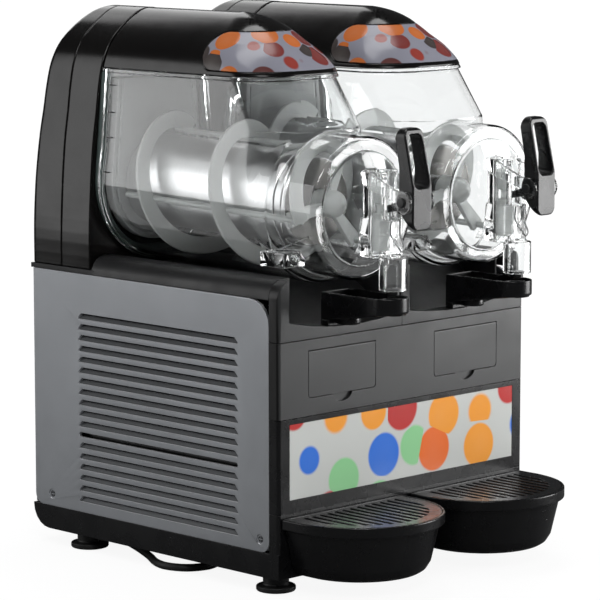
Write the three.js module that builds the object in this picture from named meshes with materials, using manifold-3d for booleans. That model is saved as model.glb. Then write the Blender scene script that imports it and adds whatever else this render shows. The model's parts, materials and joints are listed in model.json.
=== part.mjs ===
// A counter-top slush machine with two bowls, in millimetres, +Z up, front towards -Y.
// Inside the machine group, y is the distance behind the plane of the front panels.
// Inside a unit group, x is also measured from the centre of that unit's bowl.
// Inside a barrel group, z is measured from the axis of the bowl, which leans down to the front.
import * as THREE from "three";
import { mergeVertices } from "three/addons/utils/BufferGeometryUtils.js";
import Module from "manifold-3d";

const wasm = await Module();
wasm.setup();

// Driving dimensions
const width = 400;
const height = 628;
const caseDepth = 411.6;
const wall = 3;
const gap = 0.3;
const runGap = 1.2;
const overrun = 40;
const shortRun = 10;
const fit = 0.6;
const clearance = 0.9;
const unitPitch = 202.6;
const baseBottom = 18;
const baseTop = 46;
const shellTop = 325;
const deckTop = 347;
const fasciaBottom = 279.3;
const displayTop = 194.5;
const displayBottom = 90;
const edgeRadius = 20;
const axisHeight = 422;
const axisSlope = 0.0305;
const trayReach = 121;
const towerDepth = 101.6;
const coverDepth = 52.6;
const sealDepth = 10;

const depth = caseDepth + trayReach;
const frontFace = trayReach - depth / 2;
const half = width / 2;
const quarterTurn = Math.PI / 2;
const fullTurn = Math.PI * 2;
const cheekTurn = Math.PI / 3;

const foot = { radius: 22, disc: 7, chamfer: 1.75, shoulder: 5.25, neck: 14.5, stud: 5, studTop: 12 };
const footPlace = { side: 178, front: 26.5, rearIn: 74.6 };
const pan = { radius: 27, floor: 3, lap: 6 };
const side = { front: 15, skin: 4, corner: 30, low: 12, screw: 6, sink: 1.2, screwIn: 33.5, screwUp: 14 };
const louver = {
  front: 64, rearIn: 82.9, top: 272.5, pitch: 12.6, count: 18, tall: 6.8, deep: 5.2, lip: 0.7,
  round: 5,
};
const plainSlot = { at: 11, tall: 5.6 };
const column = { front: caseDepth - towerDepth, seam: caseDepth - coverDepth, wall: 4 };
const deck = { lap: 5, basin: 168, floor: 327.5, ridge: 7, hole: 62, apronLow: 290, apronBack: 78 };
const fascia = {
  back: 15, scoopRadius: 453, scoopLow: 288.8, scoopAside: 19, pilaster: 7, seam: 0.6, edge: 4,
  seamAt: -5.5,
};
const door = {
  left: 154.3, right: 47.7, low: 214.2, high: 267.2, thick: 3, corner: 4, rebate: 4, pin: 1,
  pinIn: 2.2,
};
const notch = { radius: 16, deep: 11 };
const windowPane = { half: 183, low: 104.5, high: 188.5, thick: 3, rebate: 5, boxDeep: 46 };
const arch = { half: 97, base: 331 };
const lid = { shy: 2, wall: 4, corner: 56, cornerShare: 0.95, visorTip: 51 };
const lens = { low: 566, high: 608, end: 151, inset: 1, thick: 1.6 };
const bowl = { radius: 88, wall: 3, topHalf: 75, rim: 561, lip: 3.5, flange: 4, shoulder: 24 };
bowl.rear = column.front - sealDepth;
const lidBase = bowl.rim;
const bowlFront = { slopeFoot: 22, footHeight: 502, slopeHead: 62, corner: 54, spare: 20 };
const nose = {
  radius: 79, front: 32, round: 9, face: 63, bulge: 12, soft: 0.3, domeShare: 0.7, domeHigh: 0.65,
};
const lug = { inner: 55, outer: 87, front: 2, rear: 42, low: 360, high: 376 };
const plate = { half: 71, rise: 129 };
const gasket = { band: 9 };
const drum = { radius: 52.5, front: 39, cap: 18, capStep: 2.5, capRound: 5, bore: 9 };
const endGap = 13;
const screw = { outer: 80, nosed: 72, inner: 60, blade: 4.5, pitch: 119.3, crossing: 245, front: 2 };
screw.rear = bowl.rear - endGap;
const screwMore = {
  taperEnd: 60, taperStart: 24, hub: 15, hubFront: 6, hubRear: 35, bar: 3.5, barIn: 7, arm: 9,
  turnSteps: 16,
};
const hubMore = { tip: 1.5, nose: 10.5, round: 11 };
const motor = { half: 38, shy: 8, gear: 32, can: 27, clear: 19.6, body: 12, seat: 4 };
const shaft = { radius: 7.5, front: 12, rear: column.front + motor.shy + motor.seat };
const valve = {
  at: 57, radius: 17.8, bore: 9, top: 464, low: 371, portUp: 387, port: 7.5, slotHalf: 6,
  slotLow: 411,
};
const housing = { half: 17, rear: 40, front: 78, top: 413, corner: 7 };
const spout = { at: 76.5, radius: 15.7, bore: 11, low: 336 };
const pivot = { at: 106, up: 434.5, boss: 14, pin: 3, head: 5.5, headThick: 2 };
const cheek = { inner: 15.6, outer: 19, bandTop: 464, bandLow: 450, rear: 45 };
const grip = {
  half: 14.9, wall: 2.6, front: 119, frontTop: 103, rear: 98, low: 404, top: 514, bend: 452,
  hub: 10,
};
const gripMore = {
  slotLow: 449, slotIn: 5.2, corner: 12, foot: 6, chamferUp: 424, ribUp: 472, rearTop: 92,
};
const tongue = { half: 4, under: 6, tip: 66, tipUp: 424 };
const piston = { radius: 8.5, neck: 4, neckSlack: 1.6, neckRamp: 0.8, low: 377, top: 452 };
const seals = { deep: 0.3, tall: 3, ramp: 0.75, pitch: 14 };
const wire = { radius: 1, leg: 7, foot: 3.8, top: 412, knee: 396, low: 379, reach: 9, steps: 2, sides: 5 };
const catcher = {
  half: 22, top: 328, front: 92, rear: 12, wall: 2.4, lowFront: 311, lowRear: 296, hole: 12,
};
const catcherMore = { knob: 13, knobAt: 10, knobDrop: 7 };
const tray = {
  radius: 95, rim: 86, rimTall: 12, rimOut: 4, low: 20, taper: 20, wall: 3, back: 1, tongue: 30,
};
const trayMore = { tongueLow: 50, tongueTall: 6, tongueHalf: 14, tongueAside: 55 };
const trayBase = { in: 6, low: 4, high: 12, taper: 15 };
const grid = { thick: 3, slots: 13, slotShare: 0.45, margin: 14, ledge: 4 };
const compressor = { radius: 58, tall: 150, x: 92, y: 265, foot: 14, plate: 4, round: 24, soft: 7.2 };
const condenser = {
  inset: 14, deep: 34, core: 20.4, front: 96, rear: 296, low: 62, high: 262, fins: 6, finGap: 10,
  shroud: 14,
};
const fan = {
  radius: 84, hub: 21, blades: 5, pitchShare: 0.42, thick: 20, bore: 5, span: 4, root: 16.8,
  tipGap: 3.6,
};
const controlBox = { left: 60, right: 158, front: 34, rear: 84, low: 204, high: 268, skin: 2 };
const rearPanel = { thick: 2, slots: 8, slotPitch: 15, slotTall: 5, slotHalf: 110, slotTop: 262 };
const cord = { diameter: 9, turnShare: 2.5, sides: 8, steps: 40, glandX: -100, glandUp: 82, coilX: 96, coilBehind: 93.4 };
const gland = { radius: 9.5, flange: 13, flangeThick: 3, out: 22, tip: 6.2, nut: 8 };
const coil = { turns: 3, middle: 49, step: 24, ringSides: 6, pitch: 9.7, lift: 9.7, tail: 54, lead: 9 };
const plug = { wide: 26, long: 34, pins: 9, pinLong: 18, pinRadius: 2.2, earth: 2.8, tail: 14, body: 7 };

// The arch of columns and lids: height shares of the tower, then half-width shares
const archShares = [
  [0, 1],
  [0.12, 1],
  [0.28, 0.979],
  [0.46, 0.941],
  [0.61, 0.871],
  [0.745, 0.815],
  [0.832, 0.738],
  [0.885, 0.622],
  [0.95, 0.402],
  [0.992, 0.16],
  [1, 0],
];
// The lean of the rear covers: height shares of the tower, then lean in millimetres over rearLean
const rearLean = 20;
const leanShares = [
  [0.28, 0],
  [0.45, 0.115],
  [0.7, 0.33],
  [0.79, 0.45],
  [0.88, 0.7],
  [0.96, 1.05],
  [1, 1.6],
];
// The visor in side view: height shares of the lid, then shares of visorRun behind its tip
const visorRun = 96;
const visorShares = [
  [0, 0],
  [0.07, 0.02],
  [0.3, 0.16],
  [0.5, 0.31],
  [0.65, 0.445],
  [0.8, 0.6],
  [0.91, 0.78],
  [1, 1.05],
];

// Materials
function paint(color, roughness, metalness = 0) {
  return new THREE.MeshStandardMaterial({ color, roughness, metalness });
}
const blackPlastic = paint(0x17181a, 0.35);
const darkPanel = paint(0x26282b, 0.45);
const greySteel = paint(0x8c9194, 0.45, 0.6);
const clearPlastic = paint(0xdfe6e8, 0.1);
const whitePlastic = paint(0xe6e8e6, 0.4);
const greyPlastic = paint(0xa9adad, 0.5);
const steel = paint(0xb4b7b8, 0.3, 1);
const rubber = paint(0x1d201f, 0.8);
const sealRubber = paint(0x3b4543, 0.7);
const panelWhite = paint(0xd8d8d0, 0.35);
const darkPaint = paint(0x1c1d1f, 0.5, 0.4);

// Outlines
function arc(cx, cy, radius, from, to, steps) {
  const points = [];
  for (let i = 0; i <= steps; i += 1) {
    const angle = from + ((to - from) * i) / steps;
    points.push([cx + radius * Math.cos(angle), cy + radius * Math.sin(angle)]);
  }
  return points;
}

function circle(cx, cy, radius, steps) {
  return arc(cx, cy, radius, 0, fullTurn, steps).slice(0, steps);
}

// A rectangle with its own radius at each corner: lower left, lower right, upper right, upper left
function rounded(x0, x1, y0, y1, radii, steps = 4) {
  const corners = [
    [x0, y0, 1, 1, Math.PI],
    [x1, y0, -1, 1, -quarterTurn],
    [x1, y1, -1, -1, 0],
    [x0, y1, 1, -1, quarterTurn],
  ];
  return corners.flatMap(([x, y, inX, inY, from], i) => {
    const radius = Array.isArray(radii) ? radii[i] : radii;
    if (radius === 0) return [[x, y]];
    return arc(x + inX * radius, y + inY * radius, radius, from, from + quarterTurn, steps);
  });
}

// A smooth value between the rows of a table of shares
function alongShares(rows, share) {
  const last = rows.length - 1;
  let i = 0;
  while (i < last - 1 && share > rows[i + 1][0]) i += 1;
  const [s0, v0] = rows[i];
  const [s1, v1] = rows[i + 1];
  const t = Math.min(Math.max((share - s0) / (s1 - s0), 0), 1);
  return v0 + (v1 - v0) * t;
}

// Solids
function toSolid(geometry) {
  const bare = geometry.clone();
  bare.deleteAttribute("normal");
  bare.deleteAttribute("uv");
  const merged = mergeVertices(bare, 1e-4);
  const mesh = new wasm.Mesh({
    numProp: 3,
    vertProperties: new Float32Array(merged.attributes.position.array),
    triVerts: new Uint32Array(merged.index.array),
  });
  return new wasm.Manifold(mesh);
}

function toGeometry(solid) {
  const mesh = solid.getMesh();
  const geometry = new THREE.BufferGeometry();
  const positions = new Float32Array(mesh.numVert * 3);
  for (let i = 0; i < mesh.numVert; i += 1) {
    for (let k = 0; k < 3; k += 1) positions[i * 3 + k] = mesh.vertProperties[i * mesh.numProp + k];
  }
  geometry.setAttribute("position", new THREE.BufferAttribute(positions, 3));
  geometry.setIndex(Array.from(mesh.triVerts));
  return geometry;
}

function union(...solids) {
  return solids.reduce((all, next) => all.add(next));
}

function cut(solid, ...tools) {
  return tools.reduce((left, tool) => left.subtract(tool), solid);
}

function extrude(outline, length) {
  const shape = new THREE.Shape(outline.map(([u, v]) => new THREE.Vector2(u, v)));
  return new THREE.ExtrudeGeometry(shape, { depth: length, bevelEnabled: false, steps: 1 });
}

const swapToY = new THREE.Matrix4().set(1, 0, 0, 0, 0, 0, -1, 0, 0, 1, 0, 0, 0, 0, 0, 1);
const swapToX = new THREE.Matrix4().set(0, 0, 1, 0, 1, 0, 0, 0, 0, 1, 0, 0, 0, 0, 0, 1);

// An outline of x and y, standing from z0 to z1
function alongZ(outline, z0, z1) {
  return toSolid(extrude(outline, z1 - z0).translate(0, 0, z0));
}

// An outline of x and z, lying from y0 to y1
function alongY(outline, y0, y1) {
  return toSolid(extrude(outline, y1 - y0).applyMatrix4(swapToY).translate(0, y1, 0));
}

// An outline of y and z, lying from x0 to x1
function alongX(outline, x0, x1) {
  return toSolid(extrude(outline, x1 - x0).applyMatrix4(swapToX).translate(x0, 0, 0));
}

function box(x0, x1, y0, y1, z0, z1) {
  const geometry = new THREE.BoxGeometry(x1 - x0, y1 - y0, z1 - z0);
  return toSolid(geometry.translate((x0 + x1) / 2, (y0 + y1) / 2, (z0 + z1) / 2));
}

// A profile of radius and y turned round the y axis, from low y to high y, starting and ending on the axis
function turned(profile, steps) {
  const points = profile.map(([radius, y]) => new THREE.Vector2(radius, y));
  return toSolid(new THREE.LatheGeometry(points, steps));
}

const yToZ = new THREE.Matrix4().makeRotationX(quarterTurn);

function turnedUp(profile, steps) {
  const points = profile.map(([radius, z]) => new THREE.Vector2(radius, z));
  return toSolid(new THREE.LatheGeometry(points, steps).applyMatrix4(yToZ));
}

function rod(x, y, z0, z1, radius, steps = 16) {
  return alongZ(circle(x, y, radius, steps), z0, z1);
}

function rodX(x0, x1, y, z, radius, steps = 16) {
  return alongX(circle(y, z, radius, steps), x0, x1);
}

function rodY(x, z, y0, y1, radius, steps = 16) {
  return alongY(circle(x, z, radius, steps), y0, y1);
}

// A closed skin over rings of equally many points, with flat ends
function loft(rings) {
  const count = rings[0].length;
  const positions = rings.flat(2);
  const faces = [];
  for (let r = 0; r + 1 < rings.length; r += 1) {
    for (let i = 0; i < count; i += 1) {
      const a = r * count + i;
      const b = r * count + ((i + 1) % count);
      faces.push(a, b, b + count, a, b + count, a + count);
    }
  }
  const lastRing = (rings.length - 1) * count;
  for (let i = 1; i + 1 < count; i += 1) {
    faces.push(0, i + 1, i);
    faces.push(lastRing, lastRing + i, lastRing + i + 1);
  }
  const geometry = new THREE.BufferGeometry();
  geometry.setAttribute("position", new THREE.Float32BufferAttribute(positions, 3));
  geometry.setIndex(faces);
  return geometry;
}

// A round tube through closely spaced points, as one closed skin
function woundTube(points, radius, sides) {
  const rings = [];
  let normal = null;
  for (let i = 0; i < points.length; i += 1) {
    const before = points[Math.max(i - 1, 0)];
    const after = points[Math.min(i + 1, points.length - 1)];
    const ahead = after.clone().sub(before).normalize();
    if (!normal) {
      const reference = Math.abs(ahead.z) < 0.9 ? new THREE.Vector3(0, 0, 1) : new THREE.Vector3(1, 0, 0);
      normal = reference.cross(ahead).normalize();
    }
    normal.addScaledVector(ahead, -normal.dot(ahead)).normalize();
    const across = ahead.clone().cross(normal);
    const ring = [];
    for (let k = 0; k < sides; k += 1) {
      const angle = (fullTurn * k) / sides;
      const spot = points[i].clone();
      spot.addScaledVector(normal, radius * Math.cos(angle));
      spot.addScaledVector(across, radius * Math.sin(angle));
      ring.push([spot.x, spot.y, spot.z]);
    }
    rings.push(ring);
  }
  return loft(rings);
}

// The scene graph
const machine = new THREE.Group();
machine.position.y = frontFace;

function place(name, shape, material, parent = machine) {
  const geometry = shape.isBufferGeometry ? shape : toGeometry(shape);
  const mesh = new THREE.Mesh(geometry, material);
  mesh.name = name;
  parent.add(mesh);
  return mesh;
}

// The cabinet's section across the top: square sides with round shoulders
function shoulderOutline(inset, low) {
  const reach = half - inset;
  return rounded(-reach, reach, low, deckTop - inset, [0, 0, edgeRadius - inset, edgeRadius - inset], 5);
}

// A block of the front, with its two upright front edges rounded
function frontBlock(back, low, high) {
  const { edge } = fascia;
  return alongZ(rounded(-half, half, 0, back, [edge, edge, 0, 0], 3), low, high);
}

// Feet stand under the corners of the base pan, each on its stud
function makeFoot(name, x, y) {
  const profile = [
    [0, 0],
    [foot.radius - foot.chamfer, 0],
    [foot.radius, foot.chamfer],
    [foot.radius, foot.shoulder],
    [foot.neck, foot.disc],
    [foot.neck, baseBottom - gap],
    [foot.stud, baseBottom - gap],
    [foot.stud, baseBottom + foot.studTop],
    [0, baseBottom + foot.studTop],
  ];
  const mesh = place(name, turnedUp(profile, 10), rubber);
  mesh.position.set(x, y, 0);
}

function makeFeet() {
  makeFoot("foot_front_left", -footPlace.side, footPlace.front);
  makeFoot("foot_front_right", footPlace.side, footPlace.front);
  makeFoot("foot_rear_left", -footPlace.side, caseDepth - footPlace.rearIn);
  makeFoot("foot_rear_right", footPlace.side, caseDepth - footPlace.rearIn);
}

// The base pan: a tray with a turned-up floor edge, a higher front wall and stud holes
function basePanOutline(inset) {
  const radii = [0, pan.radius - inset, 0, 0];
  return rounded(inset, caseDepth - inset, baseBottom + inset, baseTop, radii, 5);
}

function makeBasePan() {
  const upstand = frontBlock(side.front - gap, baseTop - pan.floor, displayBottom);
  const reachIn = half - wall;
  const back = box(-reachIn, reachIn, wall, overrun, baseTop - pan.lap, displayBottom + overrun);
  const outer = union(alongX(basePanOutline(0), -half, half), cut(upstand, back));
  const roomSide = basePanOutline(wall).map(([y, z]) => [y, z === baseTop ? z + overrun : z]);
  const hollow = alongX(roomSide, -reachIn, reachIn);
  const holes = [];
  for (const x of [-footPlace.side, footPlace.side]) {
    for (const y of [footPlace.front, caseDepth - footPlace.rearIn]) {
      holes.push(rod(x, y, baseBottom - overrun, baseBottom + shortRun, foot.stud + runGap, 8));
    }
  }
  for (const unit of [-unitPitch / 2, unitPitch / 2]) {
    for (const x of [unit - trayMore.tongueAside, unit + trayMore.tongueAside]) {
      const reach = trayMore.tongueHalf + gap;
      const low = trayMore.tongueLow - gap;
      const high = low + trayMore.tongueTall + fit;
      holes.push(box(x - reach, x + reach, -overrun, wall + shortRun, low, high));
    }
  }
  place("base_pan", cut(outer, hollow, ...holes), blackPlastic);
}

// A wedge that breaks through the panel at the top of a louver and runs out at its lip
function louverWedge(lipHeight) {
  const outline = [
    [-overrun, lipHeight],
    [louver.lip, lipHeight],
    [louver.deep, lipHeight + louver.tall],
    [-overrun, lipHeight + louver.tall],
  ];
  return alongY(outline, louver.front - overrun, caseDepth - louver.rearIn + overrun);
}

// A side panel lies in the y-z plane, with x growing inwards from its outer skin
function makeSidePanel(name, sign) {
  const { front } = louver;
  const rear = caseDepth - louver.rearIn;
  const corners = [side.low, side.low, 0, side.corner];
  const outline = rounded(side.front, caseDepth - side.skin, baseTop, shellTop, corners, 5);
  const panel = alongX(outline, 0, side.skin);
  const pockets = [];
  for (let i = 0; i < louver.count; i += 1) {
    const lip = louver.top - louver.pitch * i;
    if (i === plainSlot.at) {
      const low = lip + louver.lip;
      const radius = plainSlot.tall / 2;
      pockets.push(alongX(rounded(front, rear, low, low + plainSlot.tall, radius, 2), -overrun, overrun));
    } else {
      const face = rounded(front, rear, lip, lip + louver.tall, [0, 0, louver.round, louver.round], 1);
      pockets.push(alongX(face, -overrun, overrun).intersect(louverWedge(lip)));
    }
  }
  const up = baseTop + side.screwUp;
  for (const y of [caseDepth - side.screwIn, side.front + side.screwUp]) {
    pockets.push(rodX(-overrun, side.sink, y, up, side.screw, 8));
  }
  const mesh = place(name, cut(panel, ...pockets), greySteel);
  mesh.position.x = sign * half;
  mesh.scale.x = -sign;
}

// The rear panel closes the cabinet between the side panels, with air slots and the cord's hole
function makeRearPanel() {
  const reach = half - side.skin - gap;
  const inner = caseDepth - side.skin + gap;
  const outline = rounded(-reach, reach, baseTop + gap, shellTop - gap, 0);
  const slots = [];
  for (let i = 0; i < rearPanel.slots; i += 1) {
    const top = rearPanel.slotTop - rearPanel.slotPitch * i;
    const reachOut = rearPanel.slotHalf;
    const slot = rounded(-reachOut, reachOut, top - rearPanel.slotTall, top, rearPanel.slotTall / 2, 1);
    slots.push(alongY(slot, inner - overrun, caseDepth + overrun));
  }
  const bore = gland.radius + gap;
  const hole = rodY(cord.glandX, cord.glandUp, inner - overrun, caseDepth + overrun, bore, 16);
  const panel = alongY(outline, caseDepth - rearPanel.thick, caseDepth);
  place("rear_panel", cut(panel, hole, ...slots), greySteel);
}

// The top cover: round shoulders, a sunk basin with a sloping apron under each bowl,
// and a plate under the columns
function makeTopDeck() {
  const low = shellTop + gap;
  const front = fascia.back + gap;
  const { basin, floor, ridge, hole, apronLow, apronBack } = deck;
  const rear = column.front - deck.lap;
  const outer = union(
    alongY(shoulderOutline(0, low), front, rear),
    box(-half, half, rear - wall, caseDepth, low, arch.base - gap),
  );
  const under = alongY(shoulderOutline(wall, low - overrun), front - overrun, rear - wall);
  const skin = floor - low;
  const shellSide = [
    [front, apronLow - skin],
    [apronBack, low],
    [rear, low],
    [rear, deckTop],
    [front, deckTop],
  ];
  const roomSide = [
    [front - overrun, apronLow],
    [front, apronLow],
    [apronBack, floor],
    [column.front, floor],
    [column.front, deckTop + overrun],
    [front - overrun, deckTop + overrun],
  ];
  const basins = [];
  const basinShells = [];
  for (const sign of [-1, 1]) {
    const [x0, x1] = [Math.min(sign * basin, sign * ridge), Math.max(sign * basin, sign * ridge)];
    basins.push(alongX(roomSide, x0, x1));
    basinShells.push(alongX(shellSide, x0 - wall, x1 + wall));
  }
  const holes = [-unitPitch / 2, unitPitch / 2].map((x) =>
    box(x - hole, x + hole, column.seam - hole / 2, column.seam + hole / 2, low - overrun, deckTop),
  );
  const shell = union(cut(outer, under), ...basinShells);
  place("top_deck", cut(shell, ...basins, ...holes), blackPlastic);
}

// The two upper front panels carry the round shoulders and a wide shallow scoop under the bowls
function makeUpperFront(name, sign) {
  const { seamAt } = fascia;
  const [x0, x1] = sign < 0 ? [-half, seamAt - fascia.seam / 2] : [seamAt + fascia.seam / 2, half];
  const outline = shoulderOutline(0, fasciaBottom + fascia.seam / 2);
  const across = box(x0, x1, -overrun, overrun, 0, height);
  const whole = alongY(outline, 0, fascia.back).intersect(across);
  const block = whole.intersect(frontBlock(fascia.back, 0, height));
  const inward = -sign * fascia.scoopAside;
  const centre = sign * (unitPitch / 2) + inward;
  const arcTop = fascia.scoopLow + fascia.scoopRadius;
  const reach = half - edgeRadius + fascia.edge;
  const [s0, s1] = sign < 0 ? [-reach, -fascia.pilaster] : [fascia.pilaster, reach];
  const round = alongY(circle(centre, arcTop, fascia.scoopRadius, 110), -overrun, overrun);
  const scoop = round.intersect(box(s0, s1, -overrun, overrun, 0, height));
  place(name, cut(block, scoop), darkPanel);
}

// The middle front panel with two door openings and a round finger notch under each
function makeFrontMiddle() {
  const low = displayTop + fascia.seam / 2;
  const high = fasciaBottom - fascia.seam / 2;
  const { thick, rebate, corner, pin, pinIn } = door;
  const block = frontBlock(fascia.back, low, high);
  const hollow = box(wall - half, half - wall, thick + rebate, overrun, low + wall, high - wall);
  const cuts = [hollow];
  for (const sign of [-1, 1]) {
    const [x0, x1] = doorSpan(sign);
    const opening = rounded(x0, x1, door.low, door.high, [corner, corner, 0, 0], 3);
    cuts.push(alongY(opening, -overrun, thick + gap));
    const reach = [x0 + rebate, x1 - rebate, door.low + rebate, door.high - rebate];
    cuts.push(alongY(rounded(...reach, corner, 3), -overrun, overrun));
    const middle = (x0 + x1) / 2;
    const bowlShape = arc(middle, 0, notch.radius, Math.PI, fullTurn, 8);
    const squash = bowlShape.map(([x, z]) => [x, door.low + rebate / 2 + (z * notch.deep) / notch.radius]);
    cuts.push(alongY(squash, -overrun, thick + gap));
    cuts.push(rodX(x0 - pinIn - gap, x1 + pinIn + gap, thick / 2, doorHinge(), pin + gap, 6));
  }
  place("front_middle", cut(block, ...cuts), darkPanel);
}

function doorSpan(sign) {
  return sign < 0 ? [-door.left, -door.right] : [door.right, door.left];
}

// The height of a door's hinge line, in the middle of its round upper edge
function doorHinge() {
  return door.high - fit - door.thick / 2;
}

// A switch door with a round upper edge, hung there on two pins
function makeDoor(name, sign) {
  const [x0, x1] = doorSpan(sign);
  const { thick, corner, pin, pinIn } = door;
  const hinge = doorHinge();
  const low = door.low + fit;
  const profile = [[0, low], [thick, low], ...arc(thick / 2, hinge, thick / 2, 0, Math.PI, 5)];
  const face = rounded(x0 + fit, x1 - fit, low, door.high, [corner, corner, 0, 0], 3);
  const leaf = alongX(profile, x0, x1).intersect(alongY(face, -overrun, overrun));
  const pins = rodX(x0 - pinIn, x1 + pinIn, thick / 2, hinge, pin, 8);
  place(name, union(leaf, pins), darkPanel);
}

// The display box: a deep frame round the lit pane
function makeDisplayFrame() {
  const high = displayTop - fascia.seam / 2;
  const low = displayBottom + gap;
  const inside = half - side.skin - gap;
  const outer = union(
    frontBlock(side.front - gap, low, high),
    box(-inside, inside, side.front - fit, windowPane.boxDeep, low, high),
  );
  const { half: reach, rebate, thick } = windowPane;
  const seat = box(-reach, reach, -overrun, thick + gap, windowPane.low, windowPane.high);
  const room = box(
    rebate - reach,
    reach - rebate,
    -overrun,
    windowPane.boxDeep - wall,
    windowPane.low + rebate,
    windowPane.high - rebate,
  );
  place("display_frame", cut(outer, seat, room), blackPlastic);
}

function makeDisplayWindow() {
  const { thick, low, high } = windowPane;
  const reach = windowPane.half - gap;
  place("display_window", box(-reach, reach, 0, thick, low + gap, high - gap), panelWhite);
}

// The arch outline, drawn in from the outside by inset, standing on low
function archOutline(inset, low) {
  const rise = height - arch.base;
  const steps = 12;
  const right = [];
  for (let i = 0; i <= steps; i += 1) {
    const share = Math.sin((quarterTurn * i) / steps);
    const level = arch.base + rise * share;
    const reach = arch.half * alongShares(archShares, share);
    right.push([reach, level]);
  }
  const trimmed = insetOutline(right, inset).filter(([, z]) => z > low + gap);
  const reachLow = arch.half * alongShares(archShares, Math.max((low - arch.base) / rise, 0)) - inset;
  const rightSide = [[reachLow, low], ...trimmed.filter(([x]) => x > gap)];
  const crown = [0, height - inset];
  const leftSide = rightSide.map(([x, z]) => [-x, z]).reverse();
  return [...rightSide, crown, ...leftSide];
}

// Each point of an open line moved in by inset, square to the line
function insetOutline(points, inset) {
  if (inset === 0) return points;
  return points.map(([x, z], i) => {
    const [px, pz] = points[Math.max(i - 1, 0)];
    const [nx, nz] = points[Math.min(i + 1, points.length - 1)];
    const length = Math.hypot(nx - px, nz - pz);
    return [x - (inset * (nz - pz)) / length, z + (inset * (nx - px)) / length];
  });
}

// A tower part between two depths, with its rear leaning in where lean is asked
function tower(inset, y0, y1, low) {
  return alongY(archOutline(inset, low), y0, y1);
}

function leanCut(inset) {
  const rise = height - arch.base;
  const rear = caseDepth - inset;
  const edge = leanShares.map(([share, lean]) => [rear - rearLean * lean, arch.base + rise * share]);
  const outline = [
    [rear, arch.base - overrun],
    [caseDepth + overrun, arch.base - overrun],
    [caseDepth + overrun, height + overrun],
  ];
  outline.push([edge[edge.length - 1][0], height + overrun]);
  outline.push(...edge.reverse());
  return alongX(outline, -arch.half - overrun, arch.half + overrun);
}

function makeColumn(which, unit) {
  const base = arch.base;
  const outer = tower(0, column.front, column.seam - gap / 2, base);
  const hollow = tower(column.wall, column.front + column.wall, column.seam + overrun, base - overrun);
  const axis = axisHeight + axisSlope * column.front;
  const shaftHole = rodY(0, axis, column.front - overrun, column.seam, shaft.radius + runGap, 20);
  place(`column_${which}`, cut(outer, hollow, shaftHole), blackPlastic, unit);
}

function makeRearCover(which, unit) {
  const base = arch.base;
  const outer = cut(tower(0, column.seam + gap / 2, caseDepth, base), leanCut(0));
  const inner = tower(column.wall, column.seam - overrun, caseDepth, base - overrun);
  const room = cut(inner, leanCut(column.wall));
  place(`rear_cover_${which}`, cut(outer, room), blackPlastic, unit);
}

// The half-width of the arch at a level
function archHalf(level) {
  return arch.half * alongShares(archShares, (level - arch.base) / (height - arch.base));
}

// The visor's front at a level of the lid
function visorFront(level) {
  const share = (level - lidBase) / (height - lidBase);
  return lid.visorTip + visorRun * alongShares(visorShares, share);
}

// A plan outline with two round front corners, as a ring at one level
function planRing(front, rear, reach, corner, level, steps) {
  return rounded(-reach, reach, front, rear, [corner, corner, 0, 0], steps).map(([x, y]) => [x, y, level]);
}

// The solid lid, drawn in by inset on every outer face
function lidBody(inset, low) {
  const levels = [];
  const count = 5;
  const top = height + shortRun;
  for (let i = 0; i <= count; i += 1) levels.push(lidBase + ((height - lidBase) * i) / count);
  const lift = Math.SQRT2 * inset;
  const ringAt = (shapeLevel, level) => {
    const reach = archHalf(shapeLevel) + gap;
    const corner = Math.min(lid.corner, reach * lid.cornerShare) - inset;
    const rear = column.front - lid.shy - inset;
    return planRing(visorFront(shapeLevel) + lift, rear, reach - inset, corner, level, 4);
  };
  const rings = levels.slice(0, -1).map((level) => ringAt(level, level));
  const skirt = ringAt(lidBase, low);
  const crown = ringAt(levels[count - 1], top);
  const plan = toSolid(loft([skirt, ...rings.slice(low < lidBase ? 0 : 1), crown]));
  return plan.intersect(tower(inset, -overrun, column.front - lid.shy, low));
}

// The pill of the lens in side view; its front end runs on past the visor
function lensOutline(extra) {
  const low = lens.low + lens.inset - extra;
  const high = lens.high + extra;
  const radius = (high - low) / 2;
  const middle = (high + low) / 2;
  const centre = lens.end - radius;
  return [[-overrun, low], ...arc(centre, middle, radius, -quarterTurn, quarterTurn, 6), [-overrun, high]];
}

function makeLid(which, unit) {
  const outer = lidBody(0, lidBase + gap);
  const room = lidBody(lid.wall, lidBase - overrun);
  const skinDepth = lens.thick + gap;
  const band = alongX(lensOutline(gap), -arch.half, arch.half);
  const pocket = cut(band, lidBody(skinDepth, lidBase - overrun));
  place(`lid_${which}`, cut(outer, room, pocket), blackPlastic, unit);
  const patch = cut(lidBody(0, lidBase + gap), lidBody(lens.thick, lidBase - overrun));
  const shown = patch.intersect(alongX(lensOutline(0), -arch.half, arch.half));
  place(`lens_${which}`, shown, blackPlastic, unit);
}

const barrelSteps = 20;

// Where the hopper's leaning walls leave the round bottom, and how far they stand out at a level
function hopperWalls(inset) {
  const radius = bowl.radius - inset;
  const rise = bowl.rim - axisHeight;
  const reach = bowl.topHalf - inset;
  const touch = Math.atan2(rise, reach) - Math.acos(radius / Math.hypot(reach, rise));
  const [x, z] = [radius * Math.cos(touch), radius * Math.sin(touch)];
  const halfAt = (level) => (level < z ? radius : x + ((reach - x) * (level - z)) / (rise - z));
  return { radius, touch, halfAt };
}

// The hopper section over the barrel: walls that lean in from the round bottom to the rim
function hopperOutline(inset, top) {
  const { radius, touch, halfAt } = hopperWalls(inset);
  const lower = [[-radius * Math.cos(touch), radius * Math.sin(touch)]];
  for (let i = barrelSteps / 2; i <= barrelSteps; i += 1) {
    const angle = (fullTurn * i) / barrelSteps;
    lower.push([radius * Math.cos(angle), radius * Math.sin(angle)]);
  }
  lower.push([radius * Math.cos(touch), radius * Math.sin(touch)]);
  return [...lower, [halfAt(top), top], [-halfAt(top), top]];
}

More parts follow.
